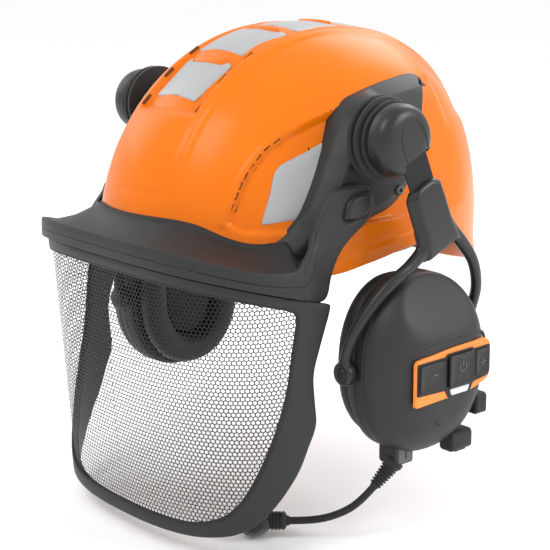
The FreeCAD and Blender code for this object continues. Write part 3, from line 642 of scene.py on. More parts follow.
HALF_WIDE = 108.0
HALF_LONG = 146.0
TALL = 142.0
CENTER_Y = -1.5
FRONT_POWER, SIDE_POWER, REAR_POWER = 2.05, 2.22, 2.4
PROBE = 0.8
HEM_TALL, HEM_OUT, LIP_DROP = 8.5, 0.9, 0.8
RIM = [(-170, 12), (-120, -2), (-64, -9), (-30, -4), (0, 1.4), (30, 4), (60, -2), (100, -22), (150, -45)]
RIM_LINE = np.array(flowing(RIM, 12))
CHEEK = np.array([(-116, 26), (-113.5, 33), (-110, 40), (-104, 52), (-97, 62), (-88, 71), (-77, 78),
                  (-55, 87), (-29, 95), (10, 101), (57, 106), (90, 100), (90, 20), (0, 22), (-60, 20),
                  (-96, 19), (-108, 20)], float)


def dome_reach(x, y, z):
    """How many times a direction from the dome's centre fits before it meets the dome."""
    ring = np.hypot(x / HALF_WIDE, y / HALF_LONG)
    turn = y / np.maximum(np.hypot(x, y), 1e-9)
    rise = np.where(turn > 0, REAR_POWER - SIDE_POWER, SIDE_POWER - FRONT_POWER)
    power = SIDE_POWER + rise * turn
    up = np.maximum(z, 0) / TALL
    return (ring ** power + up ** power) ** (-1 / power)


def dome_relief(x, y, z):
    """The moulded relief: a sunk channel along the crown, a front panel, and sunk cheeks."""
    wide = np.abs(x)
    ahead = smoothstep((-y - 60) / 20)
    top = np.where(y < 60, smoothstep((z - 86) / 9), 1.0) * smoothstep((118 - y) / 10)
    channel = -(2.2 + 2.4 * ahead) * smoothstep((29 - wide) / 3) * top
    shoulder = 1.3 * smoothstep((38 - wide) / 2.4) * smoothstep((z - 38) / 30)
    border = np.minimum(32.5 - wide, z - 42.5)
    panel = -0.5 * smoothstep((1.3 - np.abs(border)) / 1.0) * smoothstep((84 - z) / 6) * ahead
    side = np.stack([y, z], axis=-1).reshape(-1, 2)
    within = inside(side, CHEEK).reshape(y.shape)
    edge = distance_to(side, CHEEK[:11], closed=False).reshape(y.shape)
    low = distance_to(side, np.vstack([CHEEK[12:], CHEEK[:1]]), closed=False).reshape(y.shape)
    fade = smoothstep((78 - y) / 34) * smoothstep((wide - 40) / 10)
    near = np.clip(edge / 3.0, 0, 1)
    sunk = -4.2 * smoothstep(near) + 1.6 * smoothstep((edge - 4) / 14)
    cheek = within * sunk * smoothstep(low / 2.5) * fade
    cheek += ~within * 1.2 * smoothstep((3.5 - edge) / 3.5) * fade * smoothstep((-y - 20) / 15)
    rear = -2.0 * smoothstep((y - 62) / 8) * smoothstep((wide - 40) / 10) * smoothstep((z - 70) / 10)
    return channel + shoulder + panel + cheek + rear


def on_dome(x, y, z, height=0.0, relief=True):
    """Moves points along their direction from the dome's centre onto the dome, plus a height."""
    x, y, z = (np.asarray(v, float) for v in (x, y, z))
    reach = dome_reach(x, y - CENTER_Y, z)
    px, py, pz = x * reach, (y - CENTER_Y) * reach + CENTER_Y, z * reach
    out = np.sqrt(px ** 2 + (py - CENTER_Y) ** 2 + pz ** 2)
    extra = (dome_relief(px, py, pz) if relief else 0.0) + height
    grow = 1 + extra / out
    return px * grow, (py - CENTER_Y) * grow + CENTER_Y, pz * grow


def way_out(shape, far, reach):
    """The distance at which lines from inside leave the dome, found by halving; far is outside it."""
    low, high = np.zeros(shape), np.full(shape, far)
    for _ in range(36):
        middle = (low + high) / 2
        out = reach(middle) < 1
        high = np.where(out, middle, high)
        low = np.where(out, low, middle)
    return low


def dome_side(y, z, height=0.0, relief=True):
    """The dome's x where a line across the helmet at (y, z) meets it."""
    y, z = np.asarray(y, float), np.asarray(z, float)
    x = way_out(y.shape, 200.0, lambda x: dome_reach(x, y - CENTER_Y, z))
    return x + height + (dome_relief(x, y, z) if relief else 0.0)


def dome_top(x, y, height=0.0):
    """The dome's z above (x, y)."""
    x, y = np.asarray(x, float), np.asarray(y, float)
    z = way_out(x.shape, 250.0, lambda z: dome_reach(x, y - CENTER_Y, z))
    return z + height + dome_relief(x, y, z)


def unit_rows(ways):
    return ways / np.linalg.norm(ways, axis=1)[:, None]


def side_ways(line, sign):
    """Unit directions straight out of the shell at points of a side-view line."""
    y, z = line[:, 0], line[:, 1]
    slope_y = (dome_side(y + PROBE, z) - dome_side(y - PROBE, z)) / (2 * PROBE)
    slope_z = (dome_side(y, z + PROBE) - dome_side(y, z - PROBE)) / (2 * PROBE)
    return unit_rows(np.stack([sign * np.ones(len(y)), -slope_y, -slope_z], axis=1))


def top_ways(line):
    """Unit directions straight out of the shell at points of a line seen from above."""
    x, y = line[:, 0], line[:, 1]
    slope_x = (dome_top(x + PROBE, y) - dome_top(x - PROBE, y)) / (2 * PROBE)
    slope_y = (dome_top(x, y + PROBE) - dome_top(x, y - PROBE)) / (2 * PROBE)
    return unit_rows(np.stack([-slope_x, -slope_y, np.ones(len(x))], axis=1))


def shell_part(wall):
    """The shell's outer and inner walls, joined round the rim."""
    around, rows, within_rows = 440, 130, 40
    theta = np.linspace(0, 2 * math.pi, around, endpoint=False)
    radius = 1 / np.hypot(np.cos(theta) / HALF_WIDE, np.sin(theta) / HALF_LONG)
    rim_z = np.interp(radius * np.sin(theta) + CENTER_Y, RIM_LINE[:, 0], RIM_LINE[:, 1])
    lowest = np.arctan2(rim_z, radius)
    outer, within = [], []
    for grow, layers, count in ((0.0, outer, rows), (-wall, within, within_rows)):
        for row in range(count):
            angle = lowest + (math.pi / 2 - lowest) * row / count
            spot = (np.cos(theta) * np.cos(angle), np.sin(theta) * np.cos(angle) + CENTER_Y, np.sin(angle))
            hem = radius * (angle - lowest) < HEM_TALL
            behind = smoothstep((radius * np.sin(theta) + 62) / 14)
            flare = HEM_OUT * hem * behind if grow == 0.0 else 0.0
            layers.append(np.stack(on_dome(*spot, grow + flare, relief=grow == 0.0), axis=1))
    lip = [0.25 * outer[0] + 0.75 * within[0], 0.75 * outer[0] + 0.25 * within[0]]
    for ring in lip:
        ring[:, 2] -= LIP_DROP
    return loft(within[::-1] + lip + outer)


SWIVEL = Vector((108, -33, 78))


# ---------------------------------------------------------------- the visor's surfaces

BRIM_WIDE, BRIM_DEEP, BRIM_Y, BRIM_POWER = 118.0, 113.0, -56.0, 3.2
WALL_WIDE, WALL_TOP_DEEP, WALL_LOW_DEEP, WALL_LOW_Y, WALL_LOW_POWER = 115.5, 110.0, 81.0, -73.0, 2.4
WALL_TOP_Z, WALL_LOW_Z = 12.0, -180.0
PIVOT = (-45.0, 36.0)
SIDE_POINTS, LOW_POINTS, TOP_POINTS = 70, 120, 150
HEAD_MIDDLE = np.array([0.0, -38.0])


def joint_line(y):
    """Height of the seam between the peak and the frame."""
    return 3.4 - 0.28 * (y + 166)


def half_oval(turn, wide, deep, center, power):
    """A point of a squarish half oval open to the rear; turn runs from -1 to 1, and 0 is the front."""
    angle = np.asarray(turn, float) * math.pi / 2
    s, c = np.sin(angle), np.cos(angle)
    x = wide * np.sign(s) * np.abs(s) ** (2 / power)
    return x, center - deep * np.abs(c) ** (2 / power)


def wall_point(turn, z, depth=0.0):
    """A point of the visor's wall, some depth inside its outer face."""
    top = half_oval(turn, WALL_WIDE - depth, WALL_TOP_DEEP - depth, BRIM_Y, BRIM_POWER)
    low = half_oval(turn, WALL_WIDE - depth, WALL_LOW_DEEP - depth, WALL_LOW_Y, WALL_LOW_POWER)
    share = (np.asarray(z, float) - WALL_TOP_Z) / (WALL_LOW_Z - WALL_TOP_Z)
    return (top[0] + (low[0] - top[0]) * share, top[1] + (low[1] - top[1]) * share,
            np.asarray(z, float) + 0 * share)


def wall_turn(y, z):
    """The turn, from 0 to 1, at which the wall is at this y."""
    low, high = 0.0, 1.0
    for _ in range(40):
        middle = (low + high) / 2
        if wall_point(middle, z)[1] < y:
            low = middle
        else:
            high = middle
    return low


REAR_EDGE = [(-72, joint_line(-72)), (-74, -30), (-81, -49), (-86, -66), (-85, -84), (-84, -99), (-90, -113),
             (-96, -126), (-104, -138), (-113, -150), (-122, -160), (-131, -167), (-140, -170.5)]
WINDOW_EDGE = [(-97, joint_line(-97) - 7), (-99, -36), (-101, -47), (-105, -75), (-113, -103), (-122, -128),
               (-129, -145), (-136, -157), (-145, -163)]


def border(edge, low_z, top_drop):
    """A closed line of (turn, z) round the visor's wall: down one side, along the bottom and back."""
    side = resampled(flowing(edge, 10), SIDE_POINTS)
    down = np.array([(wall_turn(y, z), z) for y, z in side])
    turn = np.linspace(down[-1, 0], -down[-1, 0], LOW_POINTS + 2)[1:-1]
    blend = np.abs(turn / down[-1, 0]) ** 5
    bottom = np.stack([turn, low_z * (1 - blend) + down[-1, 1] * blend], axis=1)
    up = down[::-1] * np.array([-1, 1])
    turn = np.linspace(-down[0, 0], down[0, 0], TOP_POINTS + 2)[1:-1]
    top = []
    for value in turn:
        z = -10.0
        for _ in range(6):
            z = joint_line(wall_point(value, z)[1]) - top_drop
        top.append((value, z))
    return np.vstack([down, bottom, up, np.array(top)])


def softened(line, passes):
    """A closed line with its corners eased."""
    for _ in range(passes):
        line = 0.25 * np.roll(line, 1, axis=0) + 0.5 * line + 0.25 * np.roll(line, -1, axis=0)
    return line


def window_line():
    """The window's edge in the visor's frame."""
    return softened(border(WINDOW_EDGE, -165.0, 7.3), 14)


# ---------------------------------------------------------------- repeated things

class Tree:
    """A Geometry Nodes group that sets things in place, makes them real and gives them a material."""

    def __init__(self, name, inputs):
        self.group = bpy.data.node_groups.new(name, "GeometryNodeTree")
        face = self.group.interface
        for label, kind in (("Geometry", "Geometry"), *inputs, ("Material", "Material")):
            face.new_socket(label, in_out="INPUT", socket_type="NodeSocket" + kind)
        face.new_socket("Geometry", in_out="OUTPUT", socket_type="NodeSocketGeometry")
        self.given = self.make("NodeGroupInput")

    def make(self, kind, inputs=None, **settings):
        """A new node; each input is fed by a socket or holds a value."""
        node = self.group.nodes.new(kind)
        for key, value in settings.items():
            setattr(node, key, value)
        for key, value in (inputs or {}).items():
            if isinstance(value, bpy.types.NodeSocket):
                self.group.links.new(value, node.inputs[key])
            else:
                node.inputs[key].default_value = value
        return node.outputs

    def maths(self, operation, first, second):
        return self.make("ShaderNodeMath", {0: first, 1: second}, operation=operation)[0]

    def finished(self, **instances):
        """Instances on points, then Realize Instances and Set Material."""
        place = self.make("GeometryNodeInstanceOnPoints", instances)
        real = self.make("GeometryNodeRealizeInstances", {"Geometry": place["Instances"]})
        paint = self.make("GeometryNodeSetMaterial",
                          {"Geometry": real["Geometry"], "Material": self.given["Material"]})
        self.make("NodeGroupOutput", {"Geometry": paint["Geometry"]})
        return self.group


def row_tree():
    """A bar across a line at even steps: its long side runs along the line."""
    tree = Tree("row_of_bars", (("Count", "Int"), ("Bar", "Vector")))
    line = tree.make("GeometryNodeMeshToCurve", {"Mesh": tree.given["Geometry"]})
    even = tree.make("GeometryNodeResampleCurve", {"Curve": line["Curve"], "Count": tree.given["Count"]})
    bar = tree.make("GeometryNodeMeshCube", {"Size": tree.given["Bar"]})
    tangent = tree.make("GeometryNodeInputTangent")
    outward = tree.make("GeometryNodeInputNamedAttribute", {"Name": "outward"}, data_type="FLOAT_VECTOR")
    along = tree.make("FunctionNodeAlignRotationToVector", {"Vector": tangent[0]}, axis="X")
    over = tree.make("FunctionNodeAlignRotationToVector", {"Rotation": along[0], "Vector": outward[0]},
                     axis="Z", pivot_axis="X")
    return tree.finished(Points=even["Curve"], Instance=bar["Mesh"], Rotation=over[0])


def grown(obj, tree, settings):
    """Runs a Geometry Nodes group on an object and keeps the result as its mesh."""
    nodes = obj.modifiers.new("made", "NODES")
    nodes.node_group = tree
    for item in tree.interface.items_tree:
        if item.in_out == "INPUT" and item.name in settings:
            nodes[item.identifier] = settings[item.name]
    return settled(obj)


def bar_row(name, paths, outward, count, bar, finish):
    """A row of small bars along each path; outward gives the side that their tops face."""
    tree = bpy.data.node_groups.get("row_of_bars") or row_tree()
    mesh = bpy.data.meshes.new(name)
    verts, edges, normals = [], [], []
    for path, ways in zip(paths, outward):
        start = len(verts)
        verts += [Vector(p) * MM for p in path]
        normals += [tuple(w) for w in ways]
        edges += [(start + i, start + i + 1) for i in range(len(path) - 1)]
    mesh.from_pydata(verts, edges, [])
    attribute = mesh.attributes.new("outward", "FLOAT_VECTOR", "POINT")
    attribute.data.foreach_set("vector", [c for way in normals for c in way])
    obj = bpy.data.objects.new(name, mesh)
    bpy.context.scene.collection.objects.link(obj)
    size = tuple(value * MM for value in bar)
    return grown(obj, tree, {"Count": count, "Bar": size, "Material": FINISHES[finish]})


def mesh_tree():
    """A flat sheet of hexagonal rings, for the visor's etched mesh."""
    tree = Tree("etched_mesh", (("Width", "Float"), ("Height", "Float"), ("Columns", "Int"), ("Rows", "Int"),
                                ("Pitch", "Float"), ("Open", "Float")))
    given, make, maths = tree.given, tree.make, tree.maths
    grid = make("GeometryNodeMeshGrid", {"Size X": given["Width"], "Size Y": given["Height"],
                                         "Vertices X": given["Columns"], "Vertices Y": given["Rows"]})
    split = make("ShaderNodeSeparateXYZ", {0: make("GeometryNodeInputPosition")[0]})
    row_step = maths("MULTIPLY", given["Pitch"], math.sqrt(3) / 2)
    lifted = maths("ADD", split[1], maths("MULTIPLY", given["Height"], 0.5))
    row = maths("ROUND", maths("DIVIDE", lifted, row_step), 0)
    odd = maths("MODULO", row, 2)
    shift = make("ShaderNodeCombineXYZ", {0: maths("MULTIPLY", odd, maths("MULTIPLY", given["Pitch"], 0.5))})
    staggered = make("GeometryNodeSetPosition", {"Geometry": grid["Mesh"], "Offset": shift[0]})
    radius = maths("DIVIDE", given["Pitch"], math.sqrt(3))
    cell = make("GeometryNodeMeshCircle", {"Vertices": 6, "Radius": radius}, fill_type="NGON")
    turned = make("GeometryNodeTransform", {"Geometry": cell["Mesh"], "Rotation": (0, 0, math.pi / 6)})
    lip = make("GeometryNodeExtrudeMesh", {"Mesh": turned["Geometry"], "Offset Scale": 0}, mode="FACES")
    hole = make("GeometryNodeScaleElements", {"Geometry": lip["Mesh"], "Selection": lip["Top"],
                                              "Scale": given["Open"]}, domain="FACE")
    ring = make("GeometryNodeDeleteGeometry", {"Geometry": hole["Geometry"], "Selection": lip["Top"]},
                domain="FACE")
    return tree.finished(Points=staggered["Geometry"], Instance=ring["Geometry"])


def puffed(obj, cap, voxel=4.0, pressure=4.0):
    """Blows a pad up like a stuffed cover by cloth simulation, no point moving further than cap."""
    remesh = obj.modifiers.new("skin", "REMESH")
    remesh.mode = "VOXEL"
    remesh.voxel_size = voxel * MM
    settled(obj)
    rest = np.array([v.co[:] for v in obj.data.vertices])
    cloth = obj.modifiers.new("filling", "CLOTH")
    cloth.settings.use_pressure = True
    cloth.settings.uniform_pressure_force = pressure
    cloth.settings.effector_weights.gravity = 0
    cloth.point_cache.frame_start = 1
    cloth.point_cache.frame_end = SIM_FRAMES
    scene = bpy.context.scene
    for number in range(1, SIM_FRAMES + 1):
        scene.frame_set(number)
    settled(obj)
    scene.frame_set(1)
    moved = np.array([v.co[:] for v in obj.data.vertices])
    step = moved - rest
    length = np.linalg.norm(step, axis=1, keepdims=True)
    step *= np.minimum(1, cap * MM / np.maximum(length, 1e-9))
    obj.data.vertices.foreach_set("co", (rest + step).ravel())
    finer = obj.modifiers.new("finer", "SUBSURF")
    finer.levels = finer.render_levels = 1
    return settled(obj)


# ---------------------------------------------------------------- the panel's values

def shade(name, description, color):
    return bpy.props.FloatVectorProperty(name=name, description=description, subtype="COLOR", default=color,
                                         min=0, max=1)


class HelmetSizes(bpy.types.PropertyGroup):
    """Sizes that a user would change, in millimetres but for the opening."""
    wall: bpy.props.FloatProperty(name="Shell wall", description="Thickness of the shell", default=3.0,
                                  min=1.5)
    pitch: bpy.props.FloatProperty(name="Mesh pitch", description="Distance between the mesh's holes",
                                   default=3.0, min=1.0)
    opening: bpy.props.FloatProperty(name="Mesh opening", description="Share of a mesh cell that is open",
                                     default=0.77, min=0.3, max=0.95, subtype="FACTOR")
    film: bpy.props.FloatProperty(name="Film thickness", description="Thickness of the reflectors",
                                  default=0.5, min=0.1)


class HelmetColors(bpy.types.PropertyGroup):
    """Colours that a user would change."""
    orange: shade("Shell", "Colour of the shell", (0.72, 0.152, 0.001))
    black: shade("Plastic", "Colour of the moulded fittings", (0.015, 0.0155, 0.016))
    grey: shade("Reflectors", "Colour of the reflective film", (0.42, 0.425, 0.43))
    panel: shade("Panel", "Colour behind the buttons", (0.86, 0.24, 0.035))
    light: shade("Light", "Colour of the light's cover", (0.6, 0.62, 0.63))


class MakeShell(bpy.types.Operator):
    """Shell with its relief, and the rows of vents drawn as dark bars: painted shade inside the vent slots"""
    bl_idname = "helmet.make_shell"
    bl_label = "Shell"

    def execute(self, context):
        sizes = context.scene.helmet_sizes
        piece("shell_dome", shell_part(sizes.wall), "helmet", "shell_orange", "shell", ["shell"],
              sharp=50)
        crest = np.array(flowing([(-111, 37), (-108, 44), (-102.5, 54), (-96, 62.5), (-87, 71.5),
                                  (-79, 76.5)], 6))
        groups = ((0.02, 0.42), (0.53, 0.98))
        for side, sign in SIDES:
            paths, ways = [], []
            for start, end in groups:
                for offset in (0.8, 3.8):
                    line = resampled(crest, 41)[int(40 * start):int(40 * end) + 1]
                    run = np.gradient(line, axis=0)
                    run /= np.linalg.norm(run, axis=1)[:, None]
                    line = line + np.stack([run[:, 1], -run[:, 0]], axis=1) * offset
                    x = dome_side(line[:, 0], line[:, 1]) * sign
                    paths.append(np.stack([x, line[:, 0], line[:, 1]], axis=1))
                    ways.append(side_ways(line, sign))
            # Each vent is a half-sunk bar in the vent colour, painted shade where the slot's hollow would be
            # dark
            vents = bar_row(f"shell_vents_{side}", paths, ways, 4, (5.2, 1.8, 0.9), "slot")
            own(vents, "helmet", "shell_orange", "slot")
            # The crown's vents are dark bars too, painted shade in their slots
            line = np.array([(sign * 28.0, y) for y in np.linspace(-106, -66, 16)])
            path = np.stack([line[:, 0], line[:, 1], dome_top(line[:, 0], line[:, 1])], axis=1)
            own(bar_row(f"crown_vents_{side}", [path], [top_ways(line)], 3, (8.5, 1.9, 0.9),
                        "slot"), "helmet", "shell_orange", "slot")
        return {"FINISHED"}


class MakeReflectors(bpy.types.Operator):
    """Reflective films along the crown and on both cheeks"""
    bl_idname = "helmet.make_reflectors"
    bl_label = "Reflectors"

    def execute(self, context):
        film = context.scene.helmet_sizes.film
        levels = [(0, -0.4), (0, film - 0.15), (0.35, film)]

        def crown(a, b, height):
            return (a, b, float(dome_top(a, b, height)))

        stations = [(-103, -75, 20, 23), (-66, -30, 22.5, 25), (-21, 17, 24.5, 26), (29, 70, 25.5, 24)]
        films, bow = [], 3.5
        for front, back, narrow, wide in stations:
            outline = [(-narrow, front), (0, front - 0.5), (narrow, front), (wide, back),
                       (wide - 5, back + 1), (wide - 8, back - bow + 1), (0, back - bow),
                       (8 - wide, back - bow + 1), (5 - wide, back + 1), (-wide, back)]
            films.append(raised(rounded(outline, 1.6, 3), levels, crown, 3))
        piece("crown_films", joined(*films), "helmet", "reflector_grey", "film", ["top_reflectors"])
        lips = []
        for front, back, narrow, wide in stations[:3]:
            lip = [(-13, back - 2.6), (0, back - 3.1), (13, back - 2.6), (18.5, back + 1.6), (9, back + 3.2),
                   (0, back + 3.6), (-9, back + 3.2), (-18.5, back + 1.6)]
            lips.append(raised(resampled(rounded(lip, 4, 5), 90, closed=True),
                               [(0, -1.0), (0, 0.3), (0.5, 1.0), (1.4, 1.6), (2.2, 1.8)], crown, 3))
        piece("crown_lips", joined(*lips), "helmet", "shell_orange", "shell", sharp=50)

        def cheek(a, b, height):
            return (float(dome_side(a, b, height)), a, b)

        outline = [(-97, 25), (-90, 43), (-85, 56), (-80, 61), (-47, 75), (-44, 60), (-60, 40), (-71, 28)]
        pair("cheek_film", raised(rounded(outline, 2, 3), levels, cheek, 3), "helmet", "reflector_grey",
             "film", ["side_reflector_{side}"])
        return {"FINISHED"}


class MakeSidePlates(bpy.types.Operator):
    """Side plates that carry the visor's pivots and the muffs' swivels, with their screws"""
    bl_idname = "helmet.make_side_plates"
    bl_label = "Side plates"

    def execute(self, context):
        outline = [(48, 108), (34, 109.5), (0, 106), (-30, 98.5), (-42, 90), (-54, 70), (-67, 46), (-77, 28),
                   (-87, 17), (-95, 12), (-97, -1), (-82, -4), (-68, 6), (-50, 14), (-31, 24), (-12, 28),
                   (2, 38), (13, 50), (21, 63), (28, 80), (43, 98)]
        radii = [13, 8, 30, 16, 12, 40, 40, 12, 12, 5, 4, 8, 12, 12, 10, 10, 10, 10, 12, 10, 12]
        plate = resampled(rounded(outline, radii, 6), 220, closed=True)

        def face(a, b, height):
            """A height of 1 is the plate's flat face; below that it leans back to the shell."""
            base = float(dome_side(a, b, 0, relief=False))
            flat = min(107.7, base + 8.5)
            boss = math.hypot(a - SWIVEL.y, b - SWIVEL.z)
            flat += (107.9 - flat) * float(smoothstep((34 - boss) / 9))
            near = math.hypot(a - PIVOT[0], b - PIVOT[1])
            flat += (107.6 - flat) * float(smoothstep((36 - near) / 12))
            return (base - 4 + (flat - base + 4) * height, a, b)

        levels = [(0, -0.15), (0, 0.42), (0.6, 0.5), (6.5, 0.96), (7.3, 1.0)]
        body = raised(plate, levels, face, 4, back=False)
        pair("side_plate_body", body, "helmet", "black_plastic", "black", ["side_plate_{side}"],
             sharp=30)
        screws = []
        for y, z in ((-6, 40), (10, 56)):
            head = lathe([(0.0, -1), (3.4, -1), (3.4, 0.8), (2.9, 1.5), (1.5, 1.7), (1.4, 0.6), (0.01, 0.5)],
                         (107.5, y, z), (1, 0, 0), 32)
            screws += [head, flipped(head)]
        piece("screw_heads", joined(*screws), "helmet", "screw_steel", "steel", ["plate_screws"])
        return {"FINISHED"}


class MakeHarness(bpy.types.Operator):
    """Crown webbing with its stitching, head band and sweat band"""
    bl_idname = "helmet.make_harness"
    bl_label = "Harness"

    def execute(self, context):
        straps, stitches, ways = [], [], []
        top, half, thick = corners("crown_webbing")[1].z - 0.2, 9.5, 0.8
        for number, heading in enumerate((0, 60, 120)):
            turn = math.radians(heading)
            reach = 1 / math.hypot(math.cos(turn) / 96, math.sin(turn) / 134) - 1
            rise = top - number * 1.3
            run = Vector((math.cos(turn), math.sin(turn), 0))
            across = Vector((-math.sin(turn), math.cos(turn), 0))
            rings = []
            for step in range(73):
                angle = math.radians(2.5 + 175 * step / 72)
                middle = run * (reach * math.cos(angle)) + Vector((0, 0, rise * math.sin(angle)))
                out = (run * math.cos(angle) / reach + Vector((0, 0, math.sin(angle) / rise))).normalized()
                shape = ((half, 0), (half - 0.4, 0.5), (0, 0.62), (0.4 - half, 0.5), (-half, 0),
                         (0.4 - half, -0.5), (0, -0.62), (half - 0.4, -0.5))
                rings.append([tuple(middle - out * 0.6 + across * a + out * b * thick) for a, b in shape])
            straps.append(loft(rings))
            for edge in (-half + 1.6, half - 1.6):
                path = [Vector(ring[2]) + across * edge for ring in rings]
                stitches.append(path)
                ways.append([(p - Vector((0, 0, 10))).normalized() for p in path])
        piece("webbing_straps", joined(*straps), "helmet", "webbing_fabric", "webbing",
              ["crown_webbing"])
        rows = bar_row("webbing_stitches", stitches, ways, 70, (2.2, 0.5, 0.4), "mark")
        own(rows, "helmet", "webbing_fabric", "mark")
        repaint("webbing_clips", "satin")
        repaint("headband", "satin")
        self.sweatband()
        return {"FINISHED"}

    def sweatband(self):
        """A padded band round the front of the head."""
        band = new_object("sweatband_pad", arc_pad("sweatband", wide=78.0, deep=98.0, center=0.0, thick=1.5,
                                                   slack=0.2, share=0.96, start=203, sweep=134, steps=60))
        puffed(band, 2.0, 1.6, 2.0)
        own(band, "helmet", "cushion_skin", "leather")
        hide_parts("sweatband")


class MakeRatchet(bpy.types.Operator):
    """Nape ratchet: housing, racks, pinion, knob and nape pad"""
    bl_idname = "helmet.make_ratchet"
    bl_label = "Ratchet"

    def execute(self, context):
        for node in ("ratchet_housing", "rack_left", "rack_right", "ratchet_pinion", "ratchet_knob"):
            repaint(node, "satin")
        pad = new_object("nape_cushion", arc_pad("nape_pad", wide=72.2, deep=72.2, center=24.0, thick=1.9,
                                                 slack=0.0, share=0.95, start=66, sweep=48, steps=40))
        puffed(pad, 2.0, 1.6, 2.0)
        own(pad, "helmet", "cushion_skin", "leather")
        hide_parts("nape_pad")
        return {"FINISHED"}


BRIM_EDGE = np.array(flowing([(-180, 18), (-169, 17.5), (-160, 15), (-145, 10), (-128, 5), (-112, 3),
                              (-100, 4), (-93, 9), (-87, 19), (-80, 33), (-74, 42)], 8))
BRIM_INNER = np.array(flowing([(-155, 27), (-146, 27), (-139, 24.5), (-127, 17.5), (-112, 13), (-95, 12),
                               (-80, 14)], 8))
SEAL_SHAPE = ((-1.4, -5), (2.1, -5), (2.1, 0.4), (1.2, 1.5), (0.0, 1.7), (-1.4, 1.0))


class MakePeak(bpy.types.Operator):
    """Peak with its upstanding lip, trough and parting line, and the rubber seal on the shell"""
    bl_idname = "helmet.make_peak"
    bl_label = "Peak"

    def execute(self, context):
        span, count = 0.93, 181
        sections, seals = [], []
        for turn in np.linspace(-span, span, count):
            x, y = half_oval(turn, BRIM_WIDE, BRIM_DEEP, BRIM_Y, BRIM_POWER)
            edge = np.array([float(x), float(y)])
            top = float(np.interp(edge[1], BRIM_EDGE[:, 0], BRIM_EDGE[:, 1]))
            aim = edge - HEAD_MIDDLE
            aim /= np.linalg.norm(aim)
            edge = edge - aim * 3.4 * float(smoothstep((edge[1] + 99) / 13))
            root_y = edge[1] + 24
            root_z = float(np.interp(root_y, BRIM_INNER[:, 0], BRIM_INNER[:, 1]))
            root = self.contact(aim, root_z)
            gap = np.linalg.norm(edge - root)
            keep = float(smoothstep((-97 - edge[1]) / 4))
            reach = gap * keep + 6.0 * (1 - keep)
            root_z = root_z * keep + (top - 3) * (1 - keep)
            low = joint_line(edge[1])
            rows = [(reach - 2.2, root_z - 4), (reach - 2.2, root_z + 0.8), (reach - 2.8, root_z + 1.4),
                    (reach - 3.6, root_z + 1.1), (reach - 4.2, root_z - 0.6),
                    (0.55 * reach, 0.5 * (root_z + top) - 2.6), (4.6, top - 2.4), (2.6, top - 0.6),
                    (1.6, top - 0.1), (0.7, top - 0.4), (0.2, top - 1.4)]
            line = low + 0.42 * (top - low)
            rows += [(0.0, line + 0.9), (0.0, line + 0.45), (0.45, line), (0.0, line - 0.45),
                     (0.0, line - 0.9), (0.1, low + 0.7), (0.6, low + 0.1), (4.4, low + 0.1),
                     (5.0, low + 0.8), (5.0, top - 7), (7.5, top - 6),
                     (0.5 * reach, 0.5 * (root_z + top) - 6.2)]
            ring = []
            for depth, z in rows:
                spot = edge - aim * min(depth, max(reach, 6) - 0.6)
                ring.append((spot[0], spot[1], z))
            sections.append(ring)
            if edge[1] < -112:
                seals.append([(*(root + aim * a), root_z + b) for a, b in SEAL_SHAPE])
        piece("peak_brim", loft(sections), "visor", "black_plastic", "black", ["visor_peak"],
              sharp=32)
        piece("peak_gasket", loft(seals), "visor", "soft_black", "rubber", ["peak_seal"], sharp=40)
        return {"FINISHED"}

    def contact(self, aim, z):
        """Where a level line from the head's middle meets the dome."""
        low, high = 20.0, 200.0
        for _ in range(30):
            middle = (low + high) / 2
            spot = HEAD_MIDDLE + aim * middle
            if dome_reach(spot[0], spot[1] - CENTER_Y, np.asarray(z)) < 1:
                high = middle
            else:
                low = middle
        return HEAD_MIDDLE + aim * low


class MakeVisorFrame(bpy.types.Operator):
    """Visor frame with the black gasket round its window"""
    bl_idname = "helmet.make_visor_frame"
    bl_label = "Visor frame"

    def execute(self, context):
        outer = border(REAR_EDGE, -172.5, 0.3)
        window = window_line()
        outer = 0.75 * outer + 0.25 * softened(outer, 3)
        shape = [(0.0, 5.0), (0.0, 2.6), (0.0, 0.9), (0.035, 0.25), (0.09, 0.0), (0.5, 0.0), (0.86, 0.0),
                 (0.93, 0.25), (0.97, 0.9), (0.985, 1.7), (1.0, 3.4), (0.97, 5.0)]
        rings = []
        for here, there in zip(outer, window):
            ring = []
            for share, depth in shape:
                turn, z = here + (there - here) * share
                ring.append(tuple(float(v) for v in wall_point(turn, z, depth)))
            rings.append(ring)
        piece("frame_body", ring_loft(rings), "visor", "black_plastic", "black", ["visor_frame"],
              sharp=34)
        path = [tuple(float(v) for v in wall_point(turn, z, 1.1)) for turn, z in window]
        outward = [Vector((x, y + 70, 0)).normalized() for x, y, _ in path]
        piece("window_gasket", hoop(path, 1.1, 10, outward), "visor", "soft_black", "rubber")
        return {"FINISHED"}


